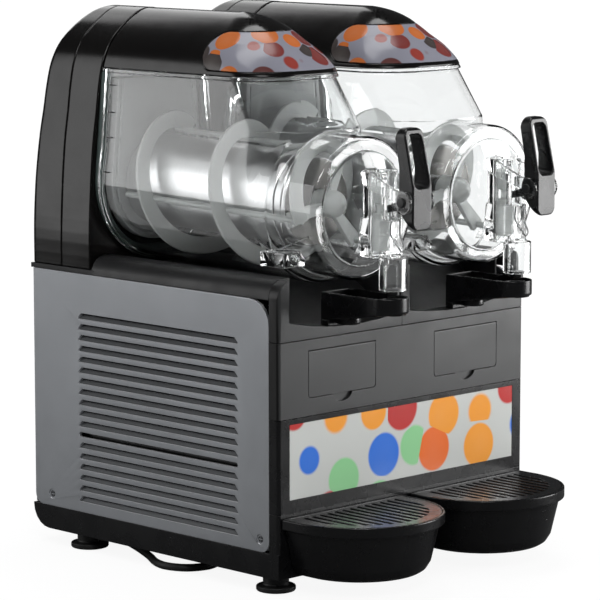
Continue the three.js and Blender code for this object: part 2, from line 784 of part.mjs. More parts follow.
// The barrel with its smaller nose and slightly domed face, turned round the bowl's axis
function barrelBody(inset) {
  const big = bowl.radius - inset;
  const small = nose.radius - inset;
  const front = -nose.front + inset;
  const rounding = inset > 0 ? [] : [[small - nose.round * nose.soft, front + nose.round * nose.soft]];
  const profile = [
    [0, front - nose.bulge],
    [nose.face * nose.domeShare, front - nose.bulge * nose.domeHigh],
    [small - nose.round, front],
    ...rounding,
    [small, front + nose.round],
    [small, bowl.shoulder - nose.round],
    [big, bowl.shoulder + nose.round],
    [big, bowl.rear + (inset > 0 ? overrun : 0)],
    [0, bowl.rear + (inset > 0 ? overrun : 0)],
  ];
  return turned(profile, barrelSteps);
}

// The bowl body in the barrel's own frame, cut level at the rim later
function bowlBody(inset) {
  const rise = bowl.rim - axisHeight + bowlFront.spare;
  const rear = bowl.rear + (inset > 0 ? overrun : 0);
  const section = alongY(hopperOutline(inset, rise), -overrun, rear);
  const heads = [];
  const { slopeFoot, slopeHead, footHeight, spare } = bowlFront;
  const lean = (slopeHead - slopeFoot) / (bowl.rim - footHeight);
  const levels = [
    [-axisHeight / 2, slopeFoot],
    [footHeight - axisHeight, slopeFoot],
    [rise, slopeHead + lean * spare],
  ];
  for (const [level, front] of levels) {
    const reach = hopperWalls(inset).halfAt(level) + gap;
    heads.push(planRing(front + inset, rear + overrun, reach, bowlFront.corner - inset, level, 4));
  }
  return union(section.intersect(toSolid(loft(heads))), barrelBody(inset));
}

const tilt = Math.atan(axisSlope);

function tilted(solid) {
  return solid.rotate([(tilt * 180) / Math.PI, 0, 0]).translate([0, 0, axisHeight]);
}

function cheekOutline() {
  const { at, up, boss } = pivot;
  return [
    [-at - boss, up],
    ...arc(-at, up, boss, Math.PI, fullTurn, 5).slice(1, -1),
    [-at + boss, up],
    [-valve.at - valve.radius / 2, cheek.bandLow - boss / 2],
    [-valve.at + valve.radius / 2, cheek.bandLow],
    [-cheek.rear, cheek.bandTop],
    [-valve.at, cheek.bandTop],
    ...arc(-at, up, boss, cheekTurn, Math.PI, 4).slice(0, -1),
  ];
}

function makeBowl(which, unit) {
  const far = bowl.rear;
  let outer = tilted(bowlBody(0));
  const reachOut = bowl.topHalf + bowl.lip;
  const rimFront = bowlFront.slopeHead - bowl.lip;
  const corners = [bowlFront.corner, bowlFront.corner, 0, 0];
  const rimPlan = rounded(-reachOut, reachOut, rimFront, far, corners, 4);
  const rimBand = alongZ(rimPlan, bowl.rim - bowl.flange, bowl.rim);
  const rise = bowl.rim - axisHeight + bowlFront.spare;
  const rearSection = tilted(alongY(hopperOutline(-bowl.lip, rise), far - overrun, far + overrun));
  const rearBand = rearSection.intersect(box(-half, half, far - bowl.flange, far, 0, bowl.rim));
  const lugs = [-1, 1].map((s) => {
    const ends = [s * lug.inner, s * lug.outer];
    return box(Math.min(...ends), Math.max(...ends), lug.front, lug.rear, lug.low, lug.high);
  });
  const barrel = rod(0, -valve.at, valve.low, valve.top, valve.radius, 14);
  const block = alongZ(
    rounded(-housing.half, housing.half, -housing.front, -housing.rear, housing.corner, 2),
    valve.low,
    housing.top,
  );
  const nozzle = rod(0, -spout.at, spout.low, valve.low + gap, spout.radius, 14);
  const cheeks = [-1, 1].map((s) => {
    const ends = [s * cheek.inner, s * cheek.outer];
    return alongX(cheekOutline(), Math.min(...ends), Math.max(...ends));
  });
  outer = outer.intersect(box(-half, half, -trayReach, far + overrun, 0, bowl.rim));
  outer = union(outer, rimBand, rearBand, ...lugs, barrel, block, nozzle, ...cheeks);
  const room = tilted(bowlBody(bowl.wall));
  const { slotHalf, slotLow } = valve;
  const slotWay = box(-slotHalf, slotHalf, -trayReach, -valve.at, slotLow, valve.top + overrun);
  const bore = rod(0, -valve.at, valve.low - gap, valve.top + overrun, valve.bore, 12);
  const port = rodY(0, valve.portUp, -valve.at, shortRun - nose.front, valve.port, 8);
  const spoutBore = rod(0, -spout.at, spout.low - overrun, valve.low + valve.port / 2, spout.bore, 10);
  const slim = spout.bore / 2;
  const link = box(-slim, slim, -spout.at, -valve.at, valve.low - gap - valve.port, valve.low + valve.port);
  const pinHole = rodX(-half, half, -pivot.at, pivot.up, pivot.pin + gap, 8);
  const rearTrim = box(-half, half, far, far + caseDepth, 0, height);
  const shape = cut(outer, room, slotWay, bore, port, spoutBore, link, pinHole, rearTrim);
  place(`bowl_${which}`, shape, clearPlastic, unit);
}

// The seal between the bowl's rear flange and the column, open at the top like the bowl
function makeGasket(which, unit) {
  const rise = bowl.rim - axisHeight - bowl.flange;
  const from = bowl.rear + gap;
  const to = column.front - gap;
  const outer = alongY(hopperOutline(0, rise), from - overrun, to + overrun);
  const inner = alongY(hopperOutline(gasket.band, rise + overrun), from - caseDepth, to + caseDepth);
  const ring = tilted(cut(outer, inner)).intersect(box(-half, half, from, to, 0, bowl.rim - bowl.flange));
  place(`gasket_${which}`, ring, sealRubber, unit);
}

// The back plate plugs the bowl's open rear end inside the seal
function makeBackPlate(which, unit) {
  const reach = plate.half;
  const inset = bowl.radius - reach;
  const from = bowl.rear - wall;
  const to = column.front - gap;
  const outline = hopperOutline(inset, plate.rise);
  const long = alongY(outline, from - overrun, to + overrun);
  const body = tilted(long).intersect(box(-half, half, from, to, 0, height));
  const axis = axisHeight + axisSlope * from;
  const hole = rodY(0, axis, from - overrun, to + overrun, shaft.radius + runGap, 20);
  place(`back_plate_${which}`, cut(body, hole), greyPlastic, unit);
}

function makeDrum(which, barrel) {
  const { radius, front, cap, capStep, capRound, bore } = drum;
  const rear = bowl.rear - wall - gap - radius * axisSlope;
  const profile = [
    [0, front],
    [radius - capRound, front],
    [radius - capStep, front + capStep],
    [radius - capStep, front + cap],
    [radius, front + cap],
    [radius, rear],
    [0, rear],
  ];
  const body = cut(turned(profile, 20), rodY(0, 0, -overrun, caseDepth, bore, 10));
  place(`evaporator_${which}`, body, steel, barrel);
}

// The ribbon's outer radius, drawn in where it reaches the nose
function ribbonRadius(y) {
  const { taperStart, taperEnd } = screwMore;
  const share = Math.min(Math.max((y - taperStart) / (taperEnd - taperStart), 0), 1);
  return screw.nosed + (screw.outer - screw.nosed) * share;
}

function makeAuger(which, barrel) {
  const rings = [];
  const turns = (screw.rear - screw.front) / screw.pitch;
  const steps = Math.round(turns * screwMore.turnSteps);
  for (let i = 0; i <= steps; i += 1) {
    const y = screw.rear - ((screw.rear - screw.front) * i) / steps;
    const angle = ((screw.crossing - y) / screw.pitch) * fullTurn;
    const outer = ribbonRadius(y);
    const inner = outer - (screw.outer - screw.inner);
    const [c, s] = [-Math.cos(angle), -Math.sin(angle)];
    const front = y - screw.blade / 2;
    const back = y + screw.blade / 2;
    rings.push([
      [inner * c, front, inner * s],
      [outer * c, front, outer * s],
      [outer * c, back, outer * s],
      [inner * c, back, inner * s],
    ]);
  }
  const ribbon = toSolid(loft(rings));
  const { hub, hubFront, hubRear, bar, barIn, arm } = screwMore;
  const hubBody = turned(
    [
      [0, -hubMore.tip],
      [hubMore.nose, hubFront],
      [hub, hubMore.round],
      [hub, hubRear],
      [0, hubRear],
    ],
    12,
  );
  const barAt = screw.nosed - (screw.outer - screw.inner) + barIn;
  const armRear = hubRear - arm;
  const lead = ((screw.crossing - screw.front) / screw.pitch) * fullTurn;
  const pieces = [ribbon, hubBody];
  for (let k = 0; k < 3; k += 1) {
    const turn = -((lead + (fullTurn * k) / 3) * 180) / Math.PI;
    const spoke = box(-barAt, 0, armRear - arm, armRear, -arm / 2, arm / 2);
    const stem = rodY(-barAt, 0, screw.front, screw.rear, bar, 6);
    pieces.push(union(spoke, stem).rotate([0, turn, 0]));
  }
  const shaftBore = rodY(0, 0, shaft.front - gap, caseDepth, shaft.radius + gap, 12);
  place(`auger_${which}`, cut(union(...pieces), shaftBore), whitePlastic, barrel);
}

function makeShaft(which, barrel) {
  place(`shaft_${which}`, rodY(0, 0, shaft.front, shaft.rear, shaft.radius, 12), steel, barrel);
}

// The geared motor sits inside the column and carries the shaft
function makeMotor(which, barrel) {
  const { half: reach, shy, gear, can, clear, body } = motor;
  const front = column.front + shy;
  const rear = caseDepth - clear;
  const gearBox = alongY(rounded(-reach, reach, -reach, reach, body, 2), front, front + gear);
  const canBody = rodY(0, body / 2, front + gear - gap, rear - body, can, 14);
  const feet = box(-reach, reach, column.front + column.wall + clearance, front + gap, -body, body);
  const hole = rodY(0, 0, front - overrun, shaft.rear + gap, shaft.radius + gap, 16);
  place(`motor_${which}`, cut(union(gearBox, canBody, feet), hole), darkPaint, barrel);
}

function makePiston(which, unit) {
  const { radius, neck, neckSlack, neckRamp, low, top } = piston;
  const { deep, tall, ramp, pitch } = seals;
  const slim = radius - deep;
  const neckLow = tongue.tipUp - tongue.half - neckSlack;
  const neckHigh = tongue.tipUp + tongue.half + neckSlack;
  const profile = [[0, low], [slim, low]];
  for (let i = 0; i < 2; i += 1) {
    const z = low + tall + i * pitch;
    profile.push([slim, z], [radius, z + ramp], [radius, z + tall - ramp], [slim, z + tall]);
  }
  profile.push([slim, neckLow], [neck, neckLow + neckRamp], [neck, neckHigh - neckRamp]);
  profile.push([slim, neckHigh], [slim, top - tall], [radius - tall, top], [0, top]);
  const mesh = place(`piston_${which}`, turnedUp(profile, 8), whitePlastic, unit);
  mesh.position.set(0, -valve.at, 0);
}

// The pull handle: a flat loop that faces the user, with a tongue that lifts the piston
function makeHandle(which, unit) {
  const { half: reach, wall: rim, front, frontTop, rear, low, top, bend, hub } = grip;
  const { corner, foot: toe, chamferUp, slotLow, slotIn, ribUp, rearTop } = gripMore;
  const profile = [
    [-front, low],
    [-front + rim, low],
    [-rear, chamferUp],
    [-rear, ribUp],
    [-rearTop, top - corner],
    [-rearTop - rim, top],
    [-frontTop, top],
    [-frontTop - rim, top - rim],
    [-front, bend],
  ];
  const face = alongX(profile, -reach, reach);
  const before = -trayReach - overrun;
  const outlineFront = rounded(-reach, reach, low, top, [toe, toe, corner, corner], 3);
  const slotSide = reach - rim;
  const slotCorners = [toe, toe, corner - rim, corner - rim];
  const slot = rounded(-slotSide, slotSide, slotLow, top - slotIn, slotCorners, 2);
  const body = cut(face.intersect(alongY(outlineFront, before, 0)), alongY(slot, before, 0));
  const hubRod = rodX(-reach, reach, -pivot.at, pivot.up, hub, 12);
  const hubBody = hubRod.intersect(box(-reach, reach, -front, 0, 0, height));
  const { half: thin, under, tip, tipUp } = tongue;
  const arm = [
    [-pivot.at, pivot.up + thin],
    [-pivot.at, pivot.up - under],
    ...arc(-tip - thin, tipUp, thin, -quarterTurn, quarterTurn, 5),
  ];
  const tongueBody = alongX(arm, -thin, thin);
  const hole = rodX(-half, half, -pivot.at, pivot.up, pivot.pin + gap, 8);
  place(`handle_${which}`, cut(union(body, hubBody, tongueBody), hole), blackPlastic, unit);
}

function makePin(which, unit) {
  const end = cheek.outer + gap;
  const { at, up, pin, head, headThick } = pivot;
  const body = union(
    rodX(-end - gap, end + gap, -at, up, pin, 8),
    rodX(-end - headThick, -end, -at, up, head, 8),
    rodX(end, end + headThick, -at, up, head, 8),
  );
  place(`pin_${which}`, body, rubber, unit);
}

// The wire return spring: two legs in front of the housing, joined by a narrow foot
function makeSpring(which, unit) {
  const { radius, leg, foot: toe, top, knee, low, reach, steps, sides } = wire;
  const near = -housing.front - radius - clearance;
  const bends = [
    [-leg, near, top],
    [-leg, near, knee],
    [-toe, near - reach, low + toe],
    [0, near - reach, low],
    [toe, near - reach, low + toe],
    [leg, near, knee],
    [leg, near, top],
  ].map(([x, y, z]) => new THREE.Vector3(x, y, z));
  const curve = new THREE.CatmullRomCurve3(bends, false, "centripetal");
  const points = curve.getPoints(bends.length * steps);
  place(`spring_${which}`, woundTube(points, radius, sides), steel, unit);
}

// The drip catcher under the nose, a shallow trough with a hole under the spout
function makeCatcher(which, unit, sign) {
  const { half: reach, top, front, rear, wall: skin, lowFront, lowRear, hole } = catcher;
  const plan = (inset) => {
    const centre = -front + reach;
    return [
      ...arc(0, centre, reach - inset, Math.PI, fullTurn, 10),
      [reach - inset, rear - inset],
      [inset - reach, rear - inset],
    ];
  };
  const rise = (lowFront - lowRear) / (front + rear);
  const floorAt = (y) => lowRear + rise * (rear - y);
  const over = (lift) => [
    [-trayReach, lowFront + lift],
    [-front, lowFront + lift],
    [rear, lowRear + lift],
    [rear, top + overrun],
    [-trayReach, top + overrun],
  ];
  const body = alongZ(plan(0), 0, top).intersect(alongX(over(0), -half, half));
  const room = alongZ(plan(skin), 0, top + overrun).intersect(alongX(over(skin), -half, half));
  const { knob, knobAt, knobDrop } = catcherMore;
  const drain = rod(0, -spout.at + gap, 0, height, hole, 14);
  const collar = rod(0, -spout.at + gap, lowFront - wall, top - skin, hole + skin, 14);
  const boss = rod(0, -knobAt, floorAt(-knobAt) - knobDrop, floorAt(-knobAt) + skin / 2, knob, 14);
  const scoopTop = fascia.scoopLow + fascia.scoopRadius;
  const scoop = alongY(circle(-sign * fascia.scoopAside, scoopTop, fascia.scoopRadius - gap, 110), 0, rear);
  const heel = box(-reach, reach, gap, rear, 0, lowRear + skin / 2).intersect(scoop);
  const shape = cut(union(cut(body, room), collar.intersect(body), boss, heel), drain);
  place(`catch_tray_${which}`, shape, blackPlastic, unit);
}

// A drip tray with a half-round front, a rim and a tapering body
function trayPlan(inset, back) {
  const reach = tray.radius - inset;
  const centre = -trayReach + tray.radius;
  return [...arc(0, centre, reach, Math.PI, fullTurn, 12), [reach, back], [-reach, back]];
}

function trayRing(inset, back, level) {
  return trayPlan(inset, back).map(([x, y]) => [x, y, level]);
}

function makeTray(which, unit) {
  const back = -tray.back;
  const { rim, rimTall, rimOut, low, taper, wall: skin } = tray;
  const { tongueLow, tongueTall, tongueHalf, tongueAside } = trayMore;
  const body = toSolid(
    loft([
      trayRing(taper + trayBase.in, back, low),
      trayRing(taper, back, low + trayBase.low),
      trayRing(trayBase.taper, back, low + trayBase.high),
      trayRing(rimOut, back, rim - rimTall / 2),
    ]),
  );
  const rimBody = alongZ(trayPlan(0, back), rim - rimTall, rim);
  const room = toSolid(
    loft([
      trayRing(taper + trayBase.in + skin, back - skin, low + skin),
      trayRing(taper + skin, back - skin, low + skin + trayBase.low),
      trayRing(rimOut + skin + grid.ledge, back - skin, rim - grid.thick - gap),
    ]),
  );
  const seat = alongZ(trayPlan(skin, back - skin), rim - grid.thick - fit, rim + overrun);
  const tongues = [-tongueAside, tongueAside].map((x) =>
    box(x - tongueHalf, x + tongueHalf, back - gap, tray.tongue, tongueLow, tongueLow + tongueTall),
  );
  place(`drip_tray_${which}`, cut(union(body, rimBody, ...tongues), room, seat), blackPlastic, unit);
}

function makeGrid(which, unit) {
  const back = -tray.back - tray.wall - gap;
  const inset = tray.wall + gap;
  const low = tray.rim - grid.thick - gap;
  const plateBody = alongZ(trayPlan(inset, back), low, low + grid.thick);
  const reach = tray.radius - inset - grid.margin;
  const slotPitch = (2 * reach) / grid.slots;
  const slotHalf = (slotPitch * grid.slotShare) / 2;
  const centre = -trayReach + tray.radius;
  const slots = [];
  for (let i = 0; i < grid.slots; i += 1) {
    const x = -reach + slotPitch * (i + 0.5);
    const front = centre - Math.sqrt(Math.max(reach * reach - x * x, 0)) - slotHalf;
    slots.push(box(x - slotHalf, x + slotHalf, front, back - grid.margin / 2, 0, height));
  }
  place(`grid_${which}`, cut(plateBody, ...slots), blackPlastic, unit);
}

// Refrigeration inside the cabinet
function makeCompressor() {
  const { radius, tall, foot: stand, plate: sheet, round, soft } = compressor;
  const floor = baseBottom + pan.floor;
  const low = floor + stand;
  const dome = turnedUp(
    [
      [0, low],
      [radius - round, low],
      [radius - soft, low + soft],
      [radius, low + round],
      [radius, low + tall - round],
      [radius - soft, low + tall - soft],
      [radius - round, low + tall],
      [0, low + tall],
    ],
    10,
  );
  const base = box(-radius, radius, -radius, radius, low - gap, low + sheet);
  const studs = [];
  for (const x of [-1, 1]) {
    for (const y of [-1, 1]) {
      const aside = radius - stand;
      studs.push(rod(x * aside, y * aside, floor + gap, low + gap, stand / 2 + gap, 8));
    }
  }
  const stub = rod(radius / 2, 0, low + tall - round, low + tall + stand, sheet, 10);
  const mesh = place("compressor", union(dome, base, ...studs, stub), darkPaint);
  mesh.position.set(compressor.x, compressor.y, 0);
}

// The condenser's finned block, with its fan ring and the fan's spindle
function makeCondenser() {
  const { inset, deep, core, front, rear, low, high, fins, finGap, shroud } = condenser;
  const x0 = -half + inset;
  const x1 = x0 + deep;
  const back = x0 + core;
  const block = box(x0, x1, front, rear, low, high);
  const pitch = (high - low) / fins;
  const cuts = [];
  for (let i = 0; i < fins; i += 1) {
    const z = low + pitch * (i + 0.5);
    cuts.push(box(x0 - overrun, back, front + inset, rear - inset, z - finGap / 2, z + finGap / 2));
  }
  const y = (front + rear) / 2;
  const z = (low + high) / 2;
  const way = rodX(back - gap, x1 + overrun, y, z, fan.radius + fan.tipGap, 16);
  const ring = rodX(x1 - gap, x1 + shroud, y, z, fan.radius + fan.tipGap + wall, 16);
  const strut = box(back, back + wall, y - inset / 2, y + inset / 2, low, high);
  const cross = box(back, back + wall, front, rear, z - inset / 2, z + inset / 2);
  const spindle = rodX(back, x1 + shroud, y, z, fan.bore, 10);
  const floor = baseBottom + pan.floor;
  const legs = [front, rear - inset].map((at) => box(x0, x1, at, at + inset, floor + gap, low + gap));
  place("condenser", union(cut(union(block, ring), way, ...cuts), strut, cross, spindle, ...legs), steel);
}

function makeFan() {
  const { radius, hub, blades, pitchShare, thick, bore, span, root } = fan;
  const lean = thick * pitchShare;
  const hole = rodX(-overrun, overrun, 0, 0, bore + gap, 10);
  const hubBody = cut(rodX(-thick / 2, thick / 2, 0, 0, hub, 12), hole);
  const pieces = [hubBody];
  for (let i = 0; i < blades; i += 1) {
    const turn = (360 * i) / blades;
    const sheet = alongZ(
      [
        [-lean - span / 2, -root],
        [-lean + span / 2, -root],
        [lean + span / 2, root],
        [lean - span / 2, root],
      ],
      hub - span,
      radius,
    );
    pieces.push(sheet.rotate([turn, 0, 0]));
  }
  const y = (condenser.front + condenser.rear) / 2;
  const z = (condenser.low + condenser.high) / 2;
  const mesh = place("fan", union(...pieces), blackPlastic);
  mesh.position.set(-half + condenser.inset + condenser.deep + thick / 2 - span, y, z);
}

function makeControlBox() {
  const { left, right, front, rear, low, high, skin } = controlBox;
  const outer = box(left, right, door.thick + door.rebate + gap, rear, low, high);
  const room = box(left + skin, right - skin, front, rear + overrun, low + skin, high - skin);
  place("control_box", cut(outer, room), greyPlastic);
}

// The cord's gland in the rear panel, then the cord, its coil and its plug
function makeGland() {
  const { radius, flange, flangeThick, out, tip, nut } = gland;
  const skin = caseDepth - rearPanel.thick;
  const bore = cord.diameter / 2 + gap;
  const profile = [
    [0, skin - nut],
    [radius, skin - nut],
    [radius, caseDepth + gap],
    [flange, caseDepth + gap],
    [flange, caseDepth + flangeThick],
    [radius - flangeThick / 2, caseDepth + flangeThick],
    [tip, caseDepth + out],
    [0, caseDepth + out],
  ];
  const body = cut(turned(profile, 12), rodY(0, 0, -overrun, caseDepth + out + overrun, bore, 8));
  const mesh = place("cord_gland", body, rubber);
  mesh.position.set(cord.glandX, 0, cord.glandUp);
}

// The cord's route from the gland over the floor, with the loop that shows at the left side.
// Its rows hold x, the distance behind the case, and z.
const cordSpots = [
  [-100, 22.4, 82],
  [-100, 38.4, 81.5],
  [-101, 62.4, 73],
  [-103, 75.4, 50],
  [-105, 71.4, 27],
  [-108, 52.4, 10.4],
  [-111, 28.4, 5.1],
  [-118, -11.6, 4.7],
  [-130, -61.6, 4.5],
  [-150, -119.6, 4.5],
  [-176, -175.6, 4.5],
  [-193, -206.6, 4.5],
  [-197, -227.6, 4.5],
  [-187, -250.6, 4.5],
  [-163, -260.6, 4.5],
  [-139, -250.6, 4.5],
  [-129, -225.6, 4.5],
  [-121, -189.6, 4.5],
  [-103, -139.6, 4.5],
  [-70, -73.6, 4.5],
  [-33, -15.6, 4.5],
  [4, 22.4, 4.5],
  [44, 36.4, 4.5],
];

// The coil's centre line: a spiral in, a climb, and a spiral out, then a straight tail
function coilPoints() {
  const { turns, middle, step, pitch, lift, tail, lead } = coil;
  const coilY = caseDepth + cord.coilBehind;
  const points = [];
  const low = cord.diameter / 2;
  const outer = middle + (pitch * turns) / 4;
  const count = turns * step;
  points.push(new THREE.Vector3(cord.coilX - lead, coilY - outer, low));
  for (let i = 0; i <= count; i += 1) {
    const t = i / step;
    const radius = outer - pitch * Math.min(t, turns - t);
    const climb = Math.min(Math.max((t - turns / 2) * 2 + 0.5, 0), 1);
    const angle = fullTurn * t - quarterTurn;
    const x = cord.coilX + radius * Math.cos(angle);
    const y = coilY + radius * Math.sin(angle);
    points.push(new THREE.Vector3(x, y, low + lift * climb));
  }
  points.push(new THREE.Vector3(cord.coilX + tail / 2, coilY - outer, low + lift));
  points.push(new THREE.Vector3(cord.coilX + tail, coilY - outer, low + lift));
  return points;
}

// The least clearance between stretches of a tube that lie well apart along it
function leastSelfGap(points, diameter) {
  const apart = diameter * cord.turnShare;
  let least = Infinity;
  const along = [0];
  for (let i = 1; i < points.length; i += 1) along.push(along[i - 1] + points[i].distanceTo(points[i - 1]));
  for (let i = 0; i < points.length; i += 1) {
    for (let j = i + 1; j < points.length; j += 1) {
      if (along[j] - along[i] < apart) continue;
      least = Math.min(least, points[i].distanceTo(points[j]) - diameter);
    }
  }
  return least;
}

function makeCord() {
  const points = coilPoints();
  const spots = cordSpots.map(([x, behind, z]) => new THREE.Vector3(x, caseDepth + behind, z));
  spots[0].y = caseDepth + gland.out + gap;
  spots.push(new THREE.Vector3(points[0].x - gap, points[0].y, points[0].z));
  const path = new THREE.CatmullRomCurve3(spots, false, "centripetal");
  const section = new THREE.Shape();
  section.absarc(0, 0, cord.diameter / 2, 0, fullTurn);
  const curveSegments = cord.sides / 2;
  const options = { steps: cord.steps, bevelEnabled: false, extrudePath: path, curveSegments };
  place("cord", toGeometry(toSolid(new THREE.ExtrudeGeometry(section, options))), rubber);
  place("cord_coil", woundTube(points, cord.diameter / 2, coil.ringSides), rubber);
  console.log("Least gap inside the coil, mm:", leastSelfGap(points, cord.diameter).toFixed(2));
  const lengths = [path.getLength(), coilLength(points)];
  console.log("Cord on the floor and in the coil, mm:", ...lengths.map((mm) => mm.toFixed(0)));
}

function coilLength(points) {
  return points.slice(1).reduce((sum, point, i) => sum + point.distanceTo(points[i]), 0);
}

// A moulded plug with two blades and an earth pin, lying at the coil's tail
function makePlug() {
  const { wide, long, pins, pinLong, pinRadius, earth, tail, body } = plug;
  const points = coilPoints();
  const end = points[points.length - 1];
  const from = end.x + gap;
  const reach = end.z;
  const boot = rodX(from, from + tail + gap, end.y, end.z, body, 10);
  const face = rounded(end.y - wide / 2, end.y + wide / 2, end.z - reach, end.z + reach, wide / 4, 3);
  const block = alongX(face, from + tail, from + tail + long);
  const tip = from + tail + long;
  const rear = tip - gap;
  const sides = [end.y - pins / 2, end.y + pins / 2];
  const blades = sides.map((y) => rodX(rear, tip + pinLong, y, end.z, pinRadius, 8));
  const earthPin = rodX(rear, tip + pinLong, end.y, end.z + pins / 2, earth, 8);
  place("plug", union(boot, block, ...blades, earthPin), rubber);
}

makeFeet();
makeBasePan();
makeSidePanel("side_panel_left", -1);
makeSidePanel("side_panel_right", 1);
makeRearPanel();
makeTopDeck();
makeUpperFront("front_upper_left", -1);
makeUpperFront("front_upper_right", 1);
makeFrontMiddle();
makeDoor("door_left", -1);
makeDoor("door_right", 1);
makeDisplayFrame();
makeDisplayWindow();
makeCompressor();
makeCondenser();
makeFan();
makeControlBox();
makeGland();
makeCord();
makePlug();

for (const [which, sign] of [["left", -1], ["right", 1]]) {
  const unit = new THREE.Group();
  unit.position.x = (sign * unitPitch) / 2;
  machine.add(unit);
  const barrel = new THREE.Group();
  barrel.position.z = axisHeight;
  barrel.rotation.x = tilt;
  unit.add(barrel);
  makeColumn(which, unit);
  makeRearCover(which, unit);
  makeGasket(which, unit);
  makeBackPlate(which, unit);
  makeBowl(which, unit);
  makeLid(which, unit);
  makeDrum(which, barrel);
  makeAuger(which, barrel);
  makeShaft(which, barrel);
  makeMotor(which, barrel);
  makePiston(which, unit);
  makeHandle(which, unit);
  makePin(which, unit);
  makeSpring(which, unit);
  makeCatcher(which, unit, sign);
  makeTray(which, unit);
  makeGrid(which, unit);
}

const group = new THREE.Group();
group.add(machine);
export default group;
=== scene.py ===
"""A counter-top slush machine with two clear bowls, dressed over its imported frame, in metres."""

import json
import math

import bpy
import numpy as np
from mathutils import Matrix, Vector

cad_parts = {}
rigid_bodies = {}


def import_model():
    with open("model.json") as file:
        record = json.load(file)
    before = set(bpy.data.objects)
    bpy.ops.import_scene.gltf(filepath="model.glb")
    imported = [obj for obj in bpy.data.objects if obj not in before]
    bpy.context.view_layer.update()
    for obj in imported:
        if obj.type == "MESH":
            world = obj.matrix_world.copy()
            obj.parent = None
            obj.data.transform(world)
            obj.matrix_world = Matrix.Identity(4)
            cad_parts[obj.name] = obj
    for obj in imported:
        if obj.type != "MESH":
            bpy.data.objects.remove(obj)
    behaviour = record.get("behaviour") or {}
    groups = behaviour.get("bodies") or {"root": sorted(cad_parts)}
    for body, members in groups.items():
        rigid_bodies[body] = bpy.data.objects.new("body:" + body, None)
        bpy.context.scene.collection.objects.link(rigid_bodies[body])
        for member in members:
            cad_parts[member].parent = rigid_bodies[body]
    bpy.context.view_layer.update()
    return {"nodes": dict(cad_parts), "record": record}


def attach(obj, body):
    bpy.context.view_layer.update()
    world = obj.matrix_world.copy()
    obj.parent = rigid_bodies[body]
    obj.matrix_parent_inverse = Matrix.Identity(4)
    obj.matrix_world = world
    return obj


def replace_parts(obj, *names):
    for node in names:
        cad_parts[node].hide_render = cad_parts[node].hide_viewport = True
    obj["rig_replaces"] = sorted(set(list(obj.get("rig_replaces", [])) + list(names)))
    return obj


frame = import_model()
nodes = frame["nodes"]
SIDES = {"left": -0.1013, "right": 0.1013}
FRONT = -0.1453


def mm(x, m, z):
    """A point from millimetres, with m the distance behind the plane of the front panels."""
    return Vector((x / 1000, m / 1000 + FRONT, z / 1000))


# Camera: the photograph's place, in metres, its direction in degrees and its focal length in mm
EYE, AZIMUTH, DOWN, LENS = (-2.5567, -2.5399, 0.8075), 44.94, 8.13, 189.23


def make_camera():
    data = bpy.data.cameras.new("camera")
    data.sensor_width = 36
    data.lens = LENS
    data.clip_start = 0.1
    data.clip_end = 60
    camera = bpy.data.objects.new("camera", data)
    bpy.context.scene.collection.objects.link(camera)
    camera.location = EYE
    azimuth, down = math.radians(AZIMUTH), math.radians(DOWN)
    level = math.cos(down)
    ahead = Vector((math.sin(azimuth) * level, math.cos(azimuth) * level, -math.sin(down)))
    camera.rotation_mode = "QUATERNION"
    camera.rotation_quaternion = ahead.to_track_quat("-Z", "Y")
    bpy.context.scene.camera = camera


make_camera()


# Materials
MATERIALS = {}


